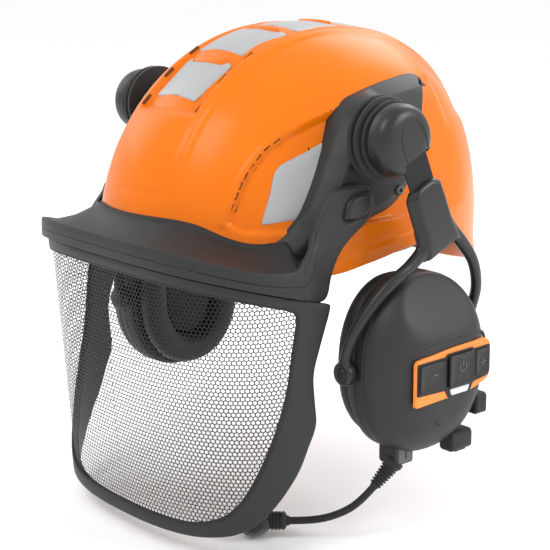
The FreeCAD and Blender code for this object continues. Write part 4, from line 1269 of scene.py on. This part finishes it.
class MakeVisorScreen(bpy.types.Operator):
    """Etched mesh of hexagonal holes, bent to the visor's wall"""
    bl_idname = "helmet.make_visor_screen"
    bl_label = "Visor screen"

    def execute(self, context):
        sizes = context.scene.helmet_sizes
        pitch = sizes.pitch
        turns = np.linspace(-1, 1, 801)
        x, y, _ = wall_point(turns, -85.0, 1.8)
        along = np.concatenate([[0], np.cumsum(np.hypot(np.diff(x), np.diff(y)))])
        along -= along[-1] / 2
        tall, center_z, depth = 176, -84.0, 1.9
        columns, rows = int(along[-1] * 2 / pitch), int(tall / (pitch * math.sqrt(3) / 2))
        width, height = (columns - 1) * pitch, (rows - 1) * pitch * math.sqrt(3) / 2
        obj = new_object("screen_mesh", ([(0, 0, 0)], []))
        grown(obj, mesh_tree(), {"Width": width * MM, "Height": height * MM, "Columns": columns, "Rows": rows,
                                 "Pitch": pitch * MM, "Open": sizes.opening, "Material": FINISHES["mesh"]})
        window = window_line()
        middle = window.mean(axis=0)
        window = middle + (window - middle) * np.array([1.012, 1.014])
        mesh = obj.data
        spots = np.zeros(len(mesh.vertices) * 3)
        mesh.vertices.foreach_get("co", spots)
        spots = spots.reshape(-1, 3) / MM
        turn = np.interp(spots[:, 0], along, turns)
        z = spots[:, 1] + center_z
        keep = inside(np.stack([turn, z], axis=1), window) & (np.abs(spots[:, 0]) < along[-1] - 2)
        bent = np.stack(wall_point(turn, z, depth), axis=1)
        mesh.vertices.foreach_set("co", (bent * MM).ravel())
        work = bmesh.new()
        work.from_mesh(mesh)
        work.verts.ensure_lookup_table()
        outside = [v for v, stay in zip(work.verts, keep) if not stay]
        bmesh.ops.delete(work, geom=outside, context="VERTS")
        bmesh.ops.remove_doubles(work, verts=work.verts, dist=0.02 * MM)
        work.to_mesh(mesh)
        work.free()
        own(obj, "visor", "mesh_black", "mesh")
        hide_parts("visor_screen")
        return {"FINISHED"}


class MakeVisorArms(bpy.types.Operator):
    """Visor arms, release buttons and pivot pins"""
    bl_idname = "helmet.make_visor_arms"
    bl_label = "Visor arms"

    def execute(self, context):
        outline = [(-35, 46), (-45, 49.5), (-66, 49), (-74, 41), (-81, 29), (-89, 13), (-98, 3), (-104, -4),
                   (-100, -15.5), (-73, -22.6), (-69, -4), (-62, 9), (-50, 18), (-37, 25), (-31.5, 36)]
        radii = [6, 10, 10, 14, 14, 14, 8, 3, 2, 10, 16, 14, 12, 8, 8]
        arm = resampled(rounded(outline, radii, 6), 200, closed=True)

        def side(a, b, height):
            lean = float(smoothstep((-70 - a) / 26) * smoothstep((24 - b) / 12))
            inner = 108.6 + 3.6 * lean
            outer = 113.2 + 4.0 * lean
            brim = BRIM_WIDE * (1 - (abs(a - BRIM_Y) / BRIM_DEEP) ** BRIM_POWER) ** (1 / BRIM_POWER)
            merge = float(smoothstep((-90 - a) / 10))
            outer += (brim - 0.7 - outer) * merge
            return (inner + (outer - inner) * height, a, b)

        levels = [(0, 0), (0, 0.62), (0.5, 0.82), (1.4, 0.96), (2.6, 1.0)]
        pair("arm_body", raised(arm, levels, side, 4), "visor", "black_plastic", "black",
             ["visor_arm_{side}"], sharp=34)
        key = [(-59, 39), (-52, 44.5), (-38, 44.5), (-36, 40), (-38.5, 30), (-55, 26), (-62, 28.5)]
        well = resampled(rounded(key, [4.5, 5, 4, 4, 6, 6, 4], 6), 90, closed=True)

        surround = raised(well, [(-1.1, 112.9), (-1.1, 113.4), (-0.2, 113.4), (0.2, 113.3)], sideways, 6)
        pair("release_surround", surround, "visor", "soft_black", "rubber")
        steps = [(0.5, 112.6), (0.5, 114.2), (0.8, 114.8), (2.5, 116.2), (2.9, 116.4)]
        button = raised(well, steps, sideways, 4)
        pair("release_button", button, "{side}_release", "black_plastic", "satin",
             ["visor_button_{side}"], sharp=30)
        line = flowing([(-107, -12), (-98, -9), (-90, -2), (-83, 9), (-72, 18), (-58, 23.5), (-50, 25.5),
                        (-42, 27)], 6)
        seam = [(side(a, b, 1.0)[0] - 0.1, a, b) for a, b in line]
        pair("arm_seam", tube(seam, 0.4, 8, up=(1, 0, 0)), "visor", "soft_black", "key")
        repaint("visor_pivot_pins", "steel")
        return {"FINISHED"}


class MakeSwivels(bpy.types.Operator):
    """Ribbed swivels and their caps"""
    bl_idname = "helmet.make_swivels"
    bl_label = "Swivels"

    def execute(self, context):
        profile = [(0.01, 0.2), (7.0, 0.2), (7.0, 5.6), (25.6, 5.6), (26.5, 6.4), (26.5, 7.9),
                   (25.8, 8.6), (23.6, 9.0), (23.4, 9.9), (23.8, 10.6), (25.4, 11.0), (26.1, 11.9),
                   (26.1, 13.5), (25.3, 14.3), (22.6, 14.7), (22.3, 15.6), (22.6, 16.5), (23.6, 16.8),
                   (24.2, 17.5), (24.0, 18.6), (23.0, 19.0), (0.01, 19.0)]
        pair("swivel_rings", lathe(profile, SWIVEL, (1, 0, 0), 96), "{side}_swivel", "black_plastic",
             "rubber", ["muff_base_{side}"], sharp=45)
        dome = [(0.01, 19.1), (21.6, 19.1), (22.5, 20.2), (22.9, 24.0), (22.8, 27.5), (22.0, 30.4),
                (20.4, 32.7), (18.2, 34.2), (15.0, 35.1), (10.0, 35.4), (0.01, 35.5)]
        for side, sign in SIDES:
            part = lathe(dome, SWIVEL, (1, 0, 0), 96)
            cap = new_object(f"swivel_cap_{side}", part if sign > 0 else flipped(part))
            cutter = new_object("slot_cutter", self.slot(sign))
            hollow = cap.modifiers.new("slot", "BOOLEAN")
            hollow.operation = "DIFFERENCE"
            hollow.solver = "EXACT"
            hollow.object = cutter
            settled(cap)
            bpy.data.objects.remove(cutter)
            own(cap, f"{side}_swivel", "black_plastic", "satin", 30)
            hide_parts(f"muff_cap_{side}")
        line = [strap_spot(along, across, 144.0) for along, across in
                [(-4, -10), (-15, -10.2), (-22, -8.2), (-25.5, -3.6), (-26, 0), (-25.5, 3.6), (-22, 8.2),
                 (-15, 10.2), (-4, 10)]]
        curve = [(self.cap_x(y, z), y, z) for _, y, z in flowing(line, 5)]
        pair("cap_seam", tube(curve, 0.35, 8, up=(1, 0, 0)), "{side}_swivel", "black_plastic",
             "key")
        return {"FINISHED"}

    def cap_x(self, y, z):
        """Height of the cap's dome at a point of the side view."""
        far = math.hypot(y - SWIVEL.y, z - SWIVEL.z)
        return float(np.interp(far, [0, 10, 15, 18.2, 20.4, 22.0],
                               [143.5, 143.4, 143.1, 142.2, 140.7, 138.4]))

    def slot(self, sign):
        """The opening that the strap leaves by."""
        rings = []
        for along, half, back in ((-3, 12.4, 133.4), (34, 13.5, 133.0)):
            corner = [strap_spot(along, -half, back), strap_spot(along, half, back),
                      strap_spot(along, half, 150), strap_spot(along, -half, 150)]
            rings.append([tuple(p) for p in corner])
        part = loft(rings)
        return part if sign > 0 else flipped(part)


LEAN = math.radians(23)
STRAP_DOWN = Vector((0, math.sin(LEAN), -math.cos(LEAN)))
STRAP_ACROSS = Vector((0, math.cos(LEAN), math.sin(LEAN)))
STRAP_TOP = Vector((138, -24.5, 66))


def strap_spot(along, across, x):
    """A point beside the muff's strap, given by its distance down the strap and across it."""
    spot = STRAP_TOP + STRAP_DOWN * along + STRAP_ACROSS * across
    return Vector((x, spot.y, spot.z))


class MakeStraps(bpy.types.Operator):
    """Spring straps and forked yokes"""
    bl_idname = "helmet.make_straps"
    bl_label = "Straps and yokes"

    def execute(self, context):
        rings, half, thick = [], 11.0, 0.8
        for along in np.linspace(-2, 58, 25):
            shape = ((-half, 0), (-half + 0.6, thick), (half - 0.6, thick), (half, 0), (half - 0.6, -thick),
                     (-half + 0.6, -thick))
            rings.append([tuple(strap_spot(along, a, STRAP_TOP.x + b)) for a, b in shape])
        pair("strap_blade", loft(rings), "{side}_strap", "strap_steel", "strap",
             ["spring_strap_{side}"], sharp=25)
        yoke = new_object("yoke_body_left", self.yoke())
        remesh = yoke.modifiers.new("skin", "REMESH")
        remesh.mode = "VOXEL"
        remesh.voxel_size = 0.9 * MM
        smooth = yoke.modifiers.new("smooth", "SMOOTH")
        smooth.factor = 0.5
        smooth.iterations = 9
        settled(yoke)
        for side, obj in (("left", yoke), ("right", mirrored(yoke, "yoke_body_right"))):
            own(obj, f"{side}_yoke", "black_plastic", "satin", 60)
            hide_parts(f"yoke_{side}")
        self.pins()
        return {"FINISHED"}

    def yoke(self):
        """Stem with rounded shoulders and bevelled sides, and two tines down to the cup's pivots."""
        rings = []
        stem = [(18.0, 7, 2.6), (19.5, 11.5, 3.8), (23.5, 15.2, 4.4), (34, 15.6, 4.8), (50, 15.6, 4.8),
                (60, 17, 4.6), (66, 18.5, 4.0)]
        for along, half, thick in stem:
            shape = ((-half, -1.8), (-half, -0.6), (-half + 5.0, thick), (half - 3.5, thick), (half, 1.2),
                     (half, -1.8), (half - 2, -3.6), (-half + 2, -3.6))
            rings.append([tuple(strap_spot(along, a, STRAP_TOP.x + b)) for a, b in shape])
        parts = [loft(rings)]
        front = [strap_spot(46, -10.5, 137), strap_spot(58, -13, 137), (137, -24.5, -1.5),
                 (136.5, -37.5, -8.5), (133.5, -50.5, -20), (127.5, -62.3, -38.5), (122.7, -66.5, -56),
                 (122, -66.6, -68)]
        rear = [strap_spot(46, 10.5, 137), strap_spot(58, 13.5, 137), (137, 23.5, 5), (136.5, 34.5, -9),
                (132.5, 42.5, -27), (126, 45.2, -44), (122.3, 42.8, -58), (122, 42.6, -68)]
        for path in (front, rear):
            path = flowing(path, 6)
            count = len(path)
            radii = [float(5.2 - 1.0 * smoothstep(i / (0.45 * count))
                           + 0.4 * smoothstep((i - 0.85 * count) / (0.15 * count))) for i in range(count)]
            parts.append(tube(path, radii, 16, 0.85, up=(1, 0, 0)))
        wide, edge = 7.8, 1.2
        for low, high in ((-70.8, -62.2), (38.4, 46.8)):
            long = high - low
            boss = [(0.01, 0), (wide - edge, 0), (wide, edge), (wide, long - edge), (wide - edge, long),
                    (0.01, long)]
            parts.append(lathe(boss, (122, low, -67), (0, 1, 0), 40))
        return joined(*parts)

    def pins(self):
        """Pivot studs with a shallow dimple in each head."""
        head = [(0.01, -1), (4.2, -1), (4.2, 0.2), (3.7, 0.7), (1.9, 0.8), (1.7, 0.3), (0.01, 0.2)]
        studs = [lathe(head, (122, start, -67), (0, way, 0), 32) for start, way in ((-70.6, -1), (46.6, 1))]
        pair("yoke_studs", joined(*studs), "{side}_yoke", "black_plastic", "key")


CUP_MIDDLE = (-12.0, -68.0)
FACE_MIDDLE = (-7.0, -68.0)
CUP_WIDE, CUP_TALL, CUP_POWER = 49.0, 59.0, 2.2


def cover_x(spread, z):
    """Height of the cup cover's face: a full dome with flats above and below the buttons."""
    full = 132 + 27.0 * (1 - spread ** 3.3) ** (1 / 1.9)
    slope = max(0.0, z + 49.5)
    limits = (full, 158.3 - 0.42 * slope - 0.0035 * slope ** 2, 158.3 - 0.10 * max(0.0, -88 - z))
    return -math.log(sum(math.exp(-0.9 * (limit - 150)) for limit in limits[:2])) / 0.9 + 150 \
        - (limits[0] - min(limits[0], limits[2])) * 0.6


class MakeCups(bpy.types.Operator):
    """Ear cups: cover, body, seam and speaker behind the ear opening"""
    bl_idname = "helmet.make_cups"
    bl_label = "Cups"

    def execute(self, context):
        steps = 34
        rings = []
        for step in range(steps):
            spread = 1 - (step / steps) ** 1.25
            share = 1 - spread
            ring = []
            center = [CUP_MIDDLE[0] + (FACE_MIDDLE[0] - CUP_MIDDLE[0]) * min(1, 2.2 * share), CUP_MIDDLE[1]]
            for _, y, z in oval_ring(CUP_WIDE * spread, CUP_TALL * spread, 0, center, CUP_POWER, 128):
                ring.append((cover_x(spread, z), y, z))
            rings.append(ring)
        back = oval_ring(CUP_WIDE - 0.6, CUP_TALL - 0.6, 132, CUP_MIDDLE, CUP_POWER, 128)
        rings[0] = oval_ring(CUP_WIDE, CUP_TALL, 132.8, CUP_MIDDLE, CUP_POWER, 128)
        pair("cover_dome", loft([back] + rings), "{side}_cup", "black_plastic", "black",
             ["cup_cover_{side}"], sharp=26)
        line = flowing([(-41, -70), (-42, -58), (-38, -51.5), (-27, -48.6), (-5, -47.6), (14, -48.2),
                        (25, -50.5), (29.5, -57), (30.5, -68)], 8)
        crease = []
        for y, z in line:
            across, up = abs(y - FACE_MIDDLE[0]) / CUP_WIDE, abs(z - FACE_MIDDLE[1]) / CUP_TALL
            spread = (across ** CUP_POWER + up ** CUP_POWER) ** (1 / CUP_POWER)
            crease.append((cover_x(spread, z) - 0.35, y, z))
        pair("cover_crease", tube(crease, 1.0, 10, up=(1, 0, 0)), "{side}_cup", "black_plastic",
             "black")
        section = ((44, 54, 116.2), (47.6, 57.6, 116.8), (48.8, 58.8, 118.6), (49, 59, 123.6),
                   (48.4, 58.4, 124.0), (48.4, 58.4, 124.5), (49, 59, 124.9), (49, 59, 131.0),
                   (48.2, 58.2, 131.7), (46, 56, 131.6), (46, 56, 119.0), (24, 35, 118.4), (24, 35, 116.2))
        walls = [oval_ring(wide, tall, x, CUP_MIDDLE, CUP_POWER) for wide, tall, x in section]
        pair("cup_shell", ring_loft(walls), "{side}_cup", "black_plastic", "black",
             ["cup_body_{side}"], sharp=34)
        grille = [(0.01, 0), (18.5, 0), (19.6, 0.5), (20, 1.5), (20, 3), (16, 8), (9, 9), (0.01, 9)]
        pair("speaker_can", lathe(grille, (119.5, -12, -67), (1, 0, 0), 64), "{side}_cup", "speaker_grey",
             "speaker", ["speaker_{side}"])
        return {"FINISHED"}


class MakeCushions(bpy.types.Operator):
    """Ear cushions and the foam behind them, blown up by cloth simulation"""
    bl_idname = "helmet.make_cushions"
    bl_label = "Cushions"

    def execute(self, context):
        rings = []
        for step in range(40):
            out, over = squarish(step, 40, 0.8)
            rings.append(oval_ring(34 + 10 * out, 45 + 10 * out, 107.4 + 7.8 * over, CUP_MIDDLE, count=120))
        ring = new_object("ear_ring_left", ring_loft(rings))
        puffed(ring, 2.5, 2.6, 4.0)
        block = [oval_ring(wide, tall, x, CUP_MIDDLE) for wide, tall, x in
                 ((19.5, 30.5, 108.4), (21, 32, 109.6), (21, 32, 115.6), (19.5, 30.5, 117.0))]
        sponge = new_object("ear_foam_left", loft(block))
        puffed(sponge, 1.5, 2.0, 2.0)
        for obj, name, slot, finish, nodes, fill in (
                (ring, "ear_ring_right", "cushion_skin", "leather", "ear_cushion_{}", 0.7),
                (sponge, "ear_foam_right", "foam_grey", "foam", "foam_insert_{}", 0.5)):
            for side, each in (("left", obj), ("right", mirrored(obj, name))):
                own(each, f"{side}_cup", slot, finish, 80)
                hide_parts(nodes.format(side))
        path = oval_ring(45.6, 56.6, 115.4, CUP_MIDDLE, count=140)
        welt = hoop(path, 0.8, 8, [Vector((1, 0, 0))] * len(path))
        pair("ear_ring_welt", welt, "{side}_cup", "cushion_skin", "leather")
        return {"FINISHED"}


class MakeControls(bpy.types.Operator):
    """The left cup's panel, keys with raised marks, light, ports and electronics"""
    bl_idname = "helmet.make_controls"
    bl_label = "Controls"

    def execute(self, context):
        field = [(-41, -57), (-10, -54), (24, -53), (28, -57), (28, -80), (10, -85.5), (-41, -87)]
        panel = rounded(field, [3, 10, 4, 4, 6, 10, 2], 5)
        piece("panel_face", raised(panel, [(0, 156.6), (0, 158.7), (0.5, 159.1)], sideways, 6), "left_cup",
              "panel_orange", "panel", ["control_panel"], sharp=30)
        tray = [(-40.5, -79.5), (-15, -80.5), (-12, -86.2), (7.5, -86.2), (11, -80), (26, -78), (26.8, -57.5),
                (11.5, -58), (10.5, -56.5), (-13.5, -56.8), (-15, -58.5), (-40.5, -58.6)]
        levels = [(0, 157.8), (0, 159.6), (0.5, 159.9)]
        piece("panel_tray", raised(rounded(tray, 1.6, 4), levels, sideways, 6), "left_cup", "soft_black",
              "rubber", sharp=30)
        keys = (("minus", (-39, -15.5), (-78, -60), 161.2), ("power", (-13.5, 10), (-79, -58), 162.6),
                ("plus", (12, 25.5), (-76.5, -59), 161.2))
        for name, (a, b), (low, high), top in keys:
            shape = rounded([(a, low), (b, low), (b, high), (a, high)], 1.8, 4)
            levels = [(0, 159.0), (0, top - 0.7), (0.35, top - 0.2), (0.8, top), (1.5, top - 0.25)]
            piece(f"{name}_key", raised(shape, levels, sideways, 5), name, "soft_black", "key",
                  [f"{name}_button"], sharp=28)
            mark = self.mark(name, ((a + b) / 2, (low + high) / 2), top - 0.2)
            piece(f"{name}_mark", mark, name, "soft_black", "mark")
        lamp = rounded([(-9.6, -84.6), (5.4, -84.6), (7.2, -80.4), (-11.2, -80.4)], 0.9, 4)
        piece("light_bar", raised(lamp, [(0, 158.8), (0, 160.0), (0.5, 160.3)], sideways, 4), "left_cup",
              "light_silver", "light", ["status_light"], sharp=30)
        dot = lathe([(0.01, 0), (0.9, 0), (0.9, 0.35), (0.5, 0.35), (0.45, 0.1), (0.01, 0.1)],
                    (157.0, -18, -103), (1, 0, 0), 20)
        piece("hearing_port", dot, "left_cup", "soft_black", "key")
        repaint("circuit_board", "board")
        repaint("battery", "battery")
        self.ports()
        return {"FINISHED"}

    def mark(self, name, middle, x):
        """Generic raised symbols: a bar, a cross, and a broken ring with a stroke and four dots."""
        y, z = middle

        def bar(wide, tall, dy=0.0, dz=0.0):
            shape = rounded([(y + dy - wide, z + dz - tall), (y + dy + wide, z + dz - tall),
                             (y + dy + wide, z + dz + tall), (y + dy - wide, z + dz + tall)], 0.3, 3)
            return raised(shape, [(0, x - 0.2), (0, x + 0.25)], sideways, 4)

        if name == "minus":
            return bar(2.6, 0.4, 1.5, 1.5)
        if name == "plus":
            return joined(bar(2.6, 0.4), bar(0.4, 2.6))
        arc = [(x, y + 3.0 * math.sin(t), z + 2.2 - 3.0 * math.cos(t)) for t in np.linspace(-2.5, 2.5, 30)]
        dot = [(0.01, 0), (0.62, 0), (0.5, 0.4), (0.01, 0.45)]
        dots = [lathe(dot, (x - 0.1, y + dy, z + dz), (1, 0, 0), 14)
                for dy, dz in ((-3.4, -4.6), (3.4, -4.6), (5.2, 2.2), (0, 8.2))]
        return joined(tube(arc, 0.42, 8, up=(1, 0, 0)), bar(0.42, 2.0, 0, 4.4), *dots)

    def ports(self):
        """Rubber covers over the sockets, and the block that the boom plugs into."""
        def place(a, b, height):
            return (a, height, b)

        def box(low, high, round_by):
            shape = rounded([(low[0], low[2]), (high[0], low[2]), (high[0], high[2]), (low[0], high[2])],
                            round_by, 5)
            levels = [(1.2, high[1]), (0, high[1] - 1.2), (0, low[1] + 1.2), (1.2, low[1])]
            return raised(shape, levels, place, 4)

        cover = joined(box((139, 2, -129), (151, 22, -116), 3),
                       box((140.5, 6, -129.8), (149.5, 18, -128), 0.6))
        piece("charge_cover", cover, "left_cup", "soft_black", "rubber", ["port_cover_bottom"],
              bevel=0.3, segments=2)
        piece("jack_cover", box((139, 26, -109), (150, 37, -95), 3), "left_cup", "soft_black",
              "rubber", ["port_cover_rear"])
        block = box((121.2, -36, -133), (138, -20, -112), 3.2)
        piece("plug_block", block, "left_cup", "black_plastic", "black", ["boom_plug"], bevel=0.5,
              segments=2)

        plate = rounded([(-34, -131), (-22, -131), (-22, -119), (-34, -119)], 1.4, 4)
        piece("plug_face", raised(plate, [(0, 137.2), (0, 138.0), (0.6, 138.5)], sideways, 5), "left_cup",
              "black_plastic", "mark", sharp=30)
        mark = rounded([(-28.3, -128.5), (-27.3, -128.5), (-27.3, -122), (-28.3, -122)], 0.2, 2)
        piece("plug_groove", raised(mark, [(0, 138.3), (0, 138.7)], sideways, 5), "left_cup", "black_plastic",
              "key")


BOOM = [(125.5, -42, -146), (120, -50, -158), (109, -60, -167.5), (96, -71, -172.5), (83, -81.5, -173.5)]


class MakeBoom(bpy.types.Operator):
    """Boom with its ribbed strain relief, collar and foam windscreen"""
    bl_idname = "helmet.make_boom"
    bl_label = "Boom"

    def execute(self, context):
        curve = bpy.data.curves.new("boom_line", "CURVE")
        curve.dimensions = "3D"
        spline = curve.splines.new("NURBS")
        spline.points.add(len(BOOM) - 1)
        for point, spot in zip(spline.points, BOOM):
            point.co = (*(value * MM for value in spot), 1)
        spline.order_u = 3
        spline.use_endpoint_u = True
        curve.resolution_u = 12
        line = bpy.data.objects.new("boom_line", curve)
        bpy.context.scene.collection.objects.link(line)
        bpy.context.view_layer.update()
        route = bpy.data.meshes.new_from_object(line)
        path = [tuple(v.co / MM) for v in route.vertices]
        bpy.data.objects.remove(line)
        piece("boom_tube", tube(path, 2.45, 24), "left_cup", "soft_black", "rubber", ["mic_boom"])
        start = Vector(BOOM[0])
        way = (Vector(BOOM[1]) - start).normalized()
        profile = [(0.01, -20), (6.4, -20), (6.4, -17.2), (5.6, -16.6), (5.6, -15.4)]
        for rib in range(7):
            along, radius = -14.6 + 2.2 * rib, 5.5 - 0.24 * rib
            profile += [(radius - 1.0, along), (radius - 1.0, along + 0.5), (radius, along + 0.8),
                        (radius, along + 1.5), (radius - 1.0, along + 1.9)]
        profile += [(3.0, 1.2), (2.6, 2.2), (0.01, 2.2)]
        piece("relief_ribs", lathe(profile, start, way, 40), "left_cup", "soft_black", "rubber",
              ["boom_strain_relief"], sharp=42)
        end = Vector(BOOM[-1])
        away = (end - Vector(BOOM[-2])).normalized()
        collar = [(0.01, -2), (3.0, -2), (3.4, -0.4), (5.2, 0.6)]
        for rib in range(4):
            along = 1.4 + 2.4 * rib
            collar += [(6.0, along), (6.0, along + 1.2), (5.0, along + 1.5), (5.0, along + 2.1)]
        collar += [(5.6, 11), (0.01, 11)]
        piece("collar_ribs", lathe(collar, end, away, 40), "left_cup", "soft_black", "rubber",
              ["mic_collar"], sharp=42)
        self.windscreen(end + away * 21, away)
        return {"FINISHED"}

    def windscreen(self, middle, away):
        """A lumpy foam ball, longer than it is tall."""
        level = Vector((away.x, away.y, 0)).normalized()
        side = Vector((-level.y, level.x, 0))
        rings = []
        for row in range(1, 40):
            tilt = math.pi * row / 40
            ring = []
            for step in range(64):
                turn = 2 * math.pi * step / 64
                unit = Vector((math.sin(tilt) * math.cos(turn), math.sin(tilt) * math.sin(turn),
                               math.cos(tilt)))
                lump = 1 + 0.035 * noise.noise(unit * 2.3) + 0.012 * noise.noise(unit * 11)
                spot = level * (unit.x * 11.6) + side * (unit.y * 14.4) + Vector((0, 0, unit.z * 9.6))
                ring.append(tuple(middle + spot * lump))
            rings.append(ring)
        ball = new_object("mic_foam", loft(rings))
        own(ball, "left_cup", "foam_grey", "foam", 80)
        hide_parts("mic_windscreen")
        repaint("mic_capsule", "speaker")


class MakeStage(bpy.types.Operator):
    """Pale floor, soft lights and the camera"""
    bl_idname = "helmet.make_stage"
    bl_label = "Stage"

    def execute(self, context):
        half, gap = 40000, 1
        floor = new_object("floor", ([(-half, -half, 0), (half, -half, 0), (half, half, 0), (-half, half, 0)],
                                     [[0, 1, 2, 3]]))
        floor.location.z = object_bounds()[0][2] - gap * MM
        paint = Finish("floor_paint")
        paint.looks(paint.mix(paint.noise(3, 2), (0.96, 0.96, 0.96), (0.98, 0.98, 0.98)), 0.7)
        floor.data.materials.append(paint.material)
        floor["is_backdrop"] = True
        world = bpy.data.worlds.new("studio")
        world.use_nodes = True
        world.node_tree.nodes["Background"].inputs[0].default_value = (1, 1, 1, 1)
        world.node_tree.nodes["Background"].inputs[1].default_value = 1.0
        context.scene.world = world
        for name, spot, size, power in (
                ("key", (0.2, -1.3, 1.5), 0.8, 13), ("right", (1.5, 0.9, 0.9), 0.7, 17),
                ("left", (-1.4, -0.5, 0.9), 1.0, 5), ("rear", (-0.4, 1.5, 1.3), 1.0, 12)):
            lamp = bpy.data.lights.new(name, "AREA")
            lamp.energy = power
            lamp.size = size
            holder = bpy.data.objects.new(name, lamp)
            holder.location = spot
            aim = Vector((0, -0.02, 0)) - Vector(spot)
            holder.rotation_euler = aim.to_track_quat("-Z", "Y").to_euler()
            context.scene.collection.objects.link(holder)
        self.camera(context)
        return {"FINISHED"}

    def camera(self, context):
        turn, lift, distance = math.radians(48.4), math.radians(12.0), 1.041
        lens = bpy.data.cameras.new("camera")
        lens.sensor_width = 36
        lens.lens = 96.6
        lens.shift_x = -0.0367
        lens.shift_y = -0.0936
        holder = bpy.data.objects.new("camera", lens)
        way = Vector((math.sin(turn) * math.cos(lift), -math.cos(turn) * math.cos(lift), math.sin(lift)))
        holder.location = way * distance
        holder.rotation_euler = (-way).to_track_quat("-Z", "Y").to_euler()
        context.scene.collection.objects.link(holder)
        context.scene.camera = holder
        context.scene.view_settings.view_transform = "Standard"


OPERATORS = (MakeShell, MakeReflectors, MakeSidePlates, MakeHarness, MakeRatchet, MakePeak, MakeVisorFrame,
             MakeVisorScreen, MakeVisorArms, MakeSwivels, MakeStraps, MakeCups, MakeCushions, MakeControls,
             MakeBoom, MakeStage)


class HelmetPanel(bpy.types.Panel):
    """Sizes, colours and the buttons that build each piece"""
    bl_idname = "VIEW3D_PT_helmet"
    bl_label = "Forestry Helmet"
    bl_space_type = "VIEW_3D"
    bl_region_type = "UI"
    bl_category = "Helmet"

    def draw(self, context):
        for group in (context.scene.helmet_sizes, context.scene.helmet_colors):
            for name in group.__annotations__:
                self.layout.prop(group, name)
        for operator in OPERATORS:
            self.layout.operator(operator.bl_idname)


CLASSES = (HelmetSizes, HelmetColors, *OPERATORS, HelmetPanel)


def register():
    for each in CLASSES:
        bpy.utils.register_class(each)
    bpy.types.Scene.helmet_sizes = bpy.props.PointerProperty(type=HelmetSizes)
    bpy.types.Scene.helmet_colors = bpy.props.PointerProperty(type=HelmetColors)


def unregister():
    del bpy.types.Scene.helmet_colors
    del bpy.types.Scene.helmet_sizes
    for each in reversed(CLASSES):
        bpy.utils.unregister_class(each)


def main():
    register()
    make_finishes(bpy.context.scene.helmet_colors)
    for operator in OPERATORS:
        name = operator.bl_idname.split(".")[1]
        getattr(bpy.ops.helmet, name)()


if __name__ == "__main__":
    main()
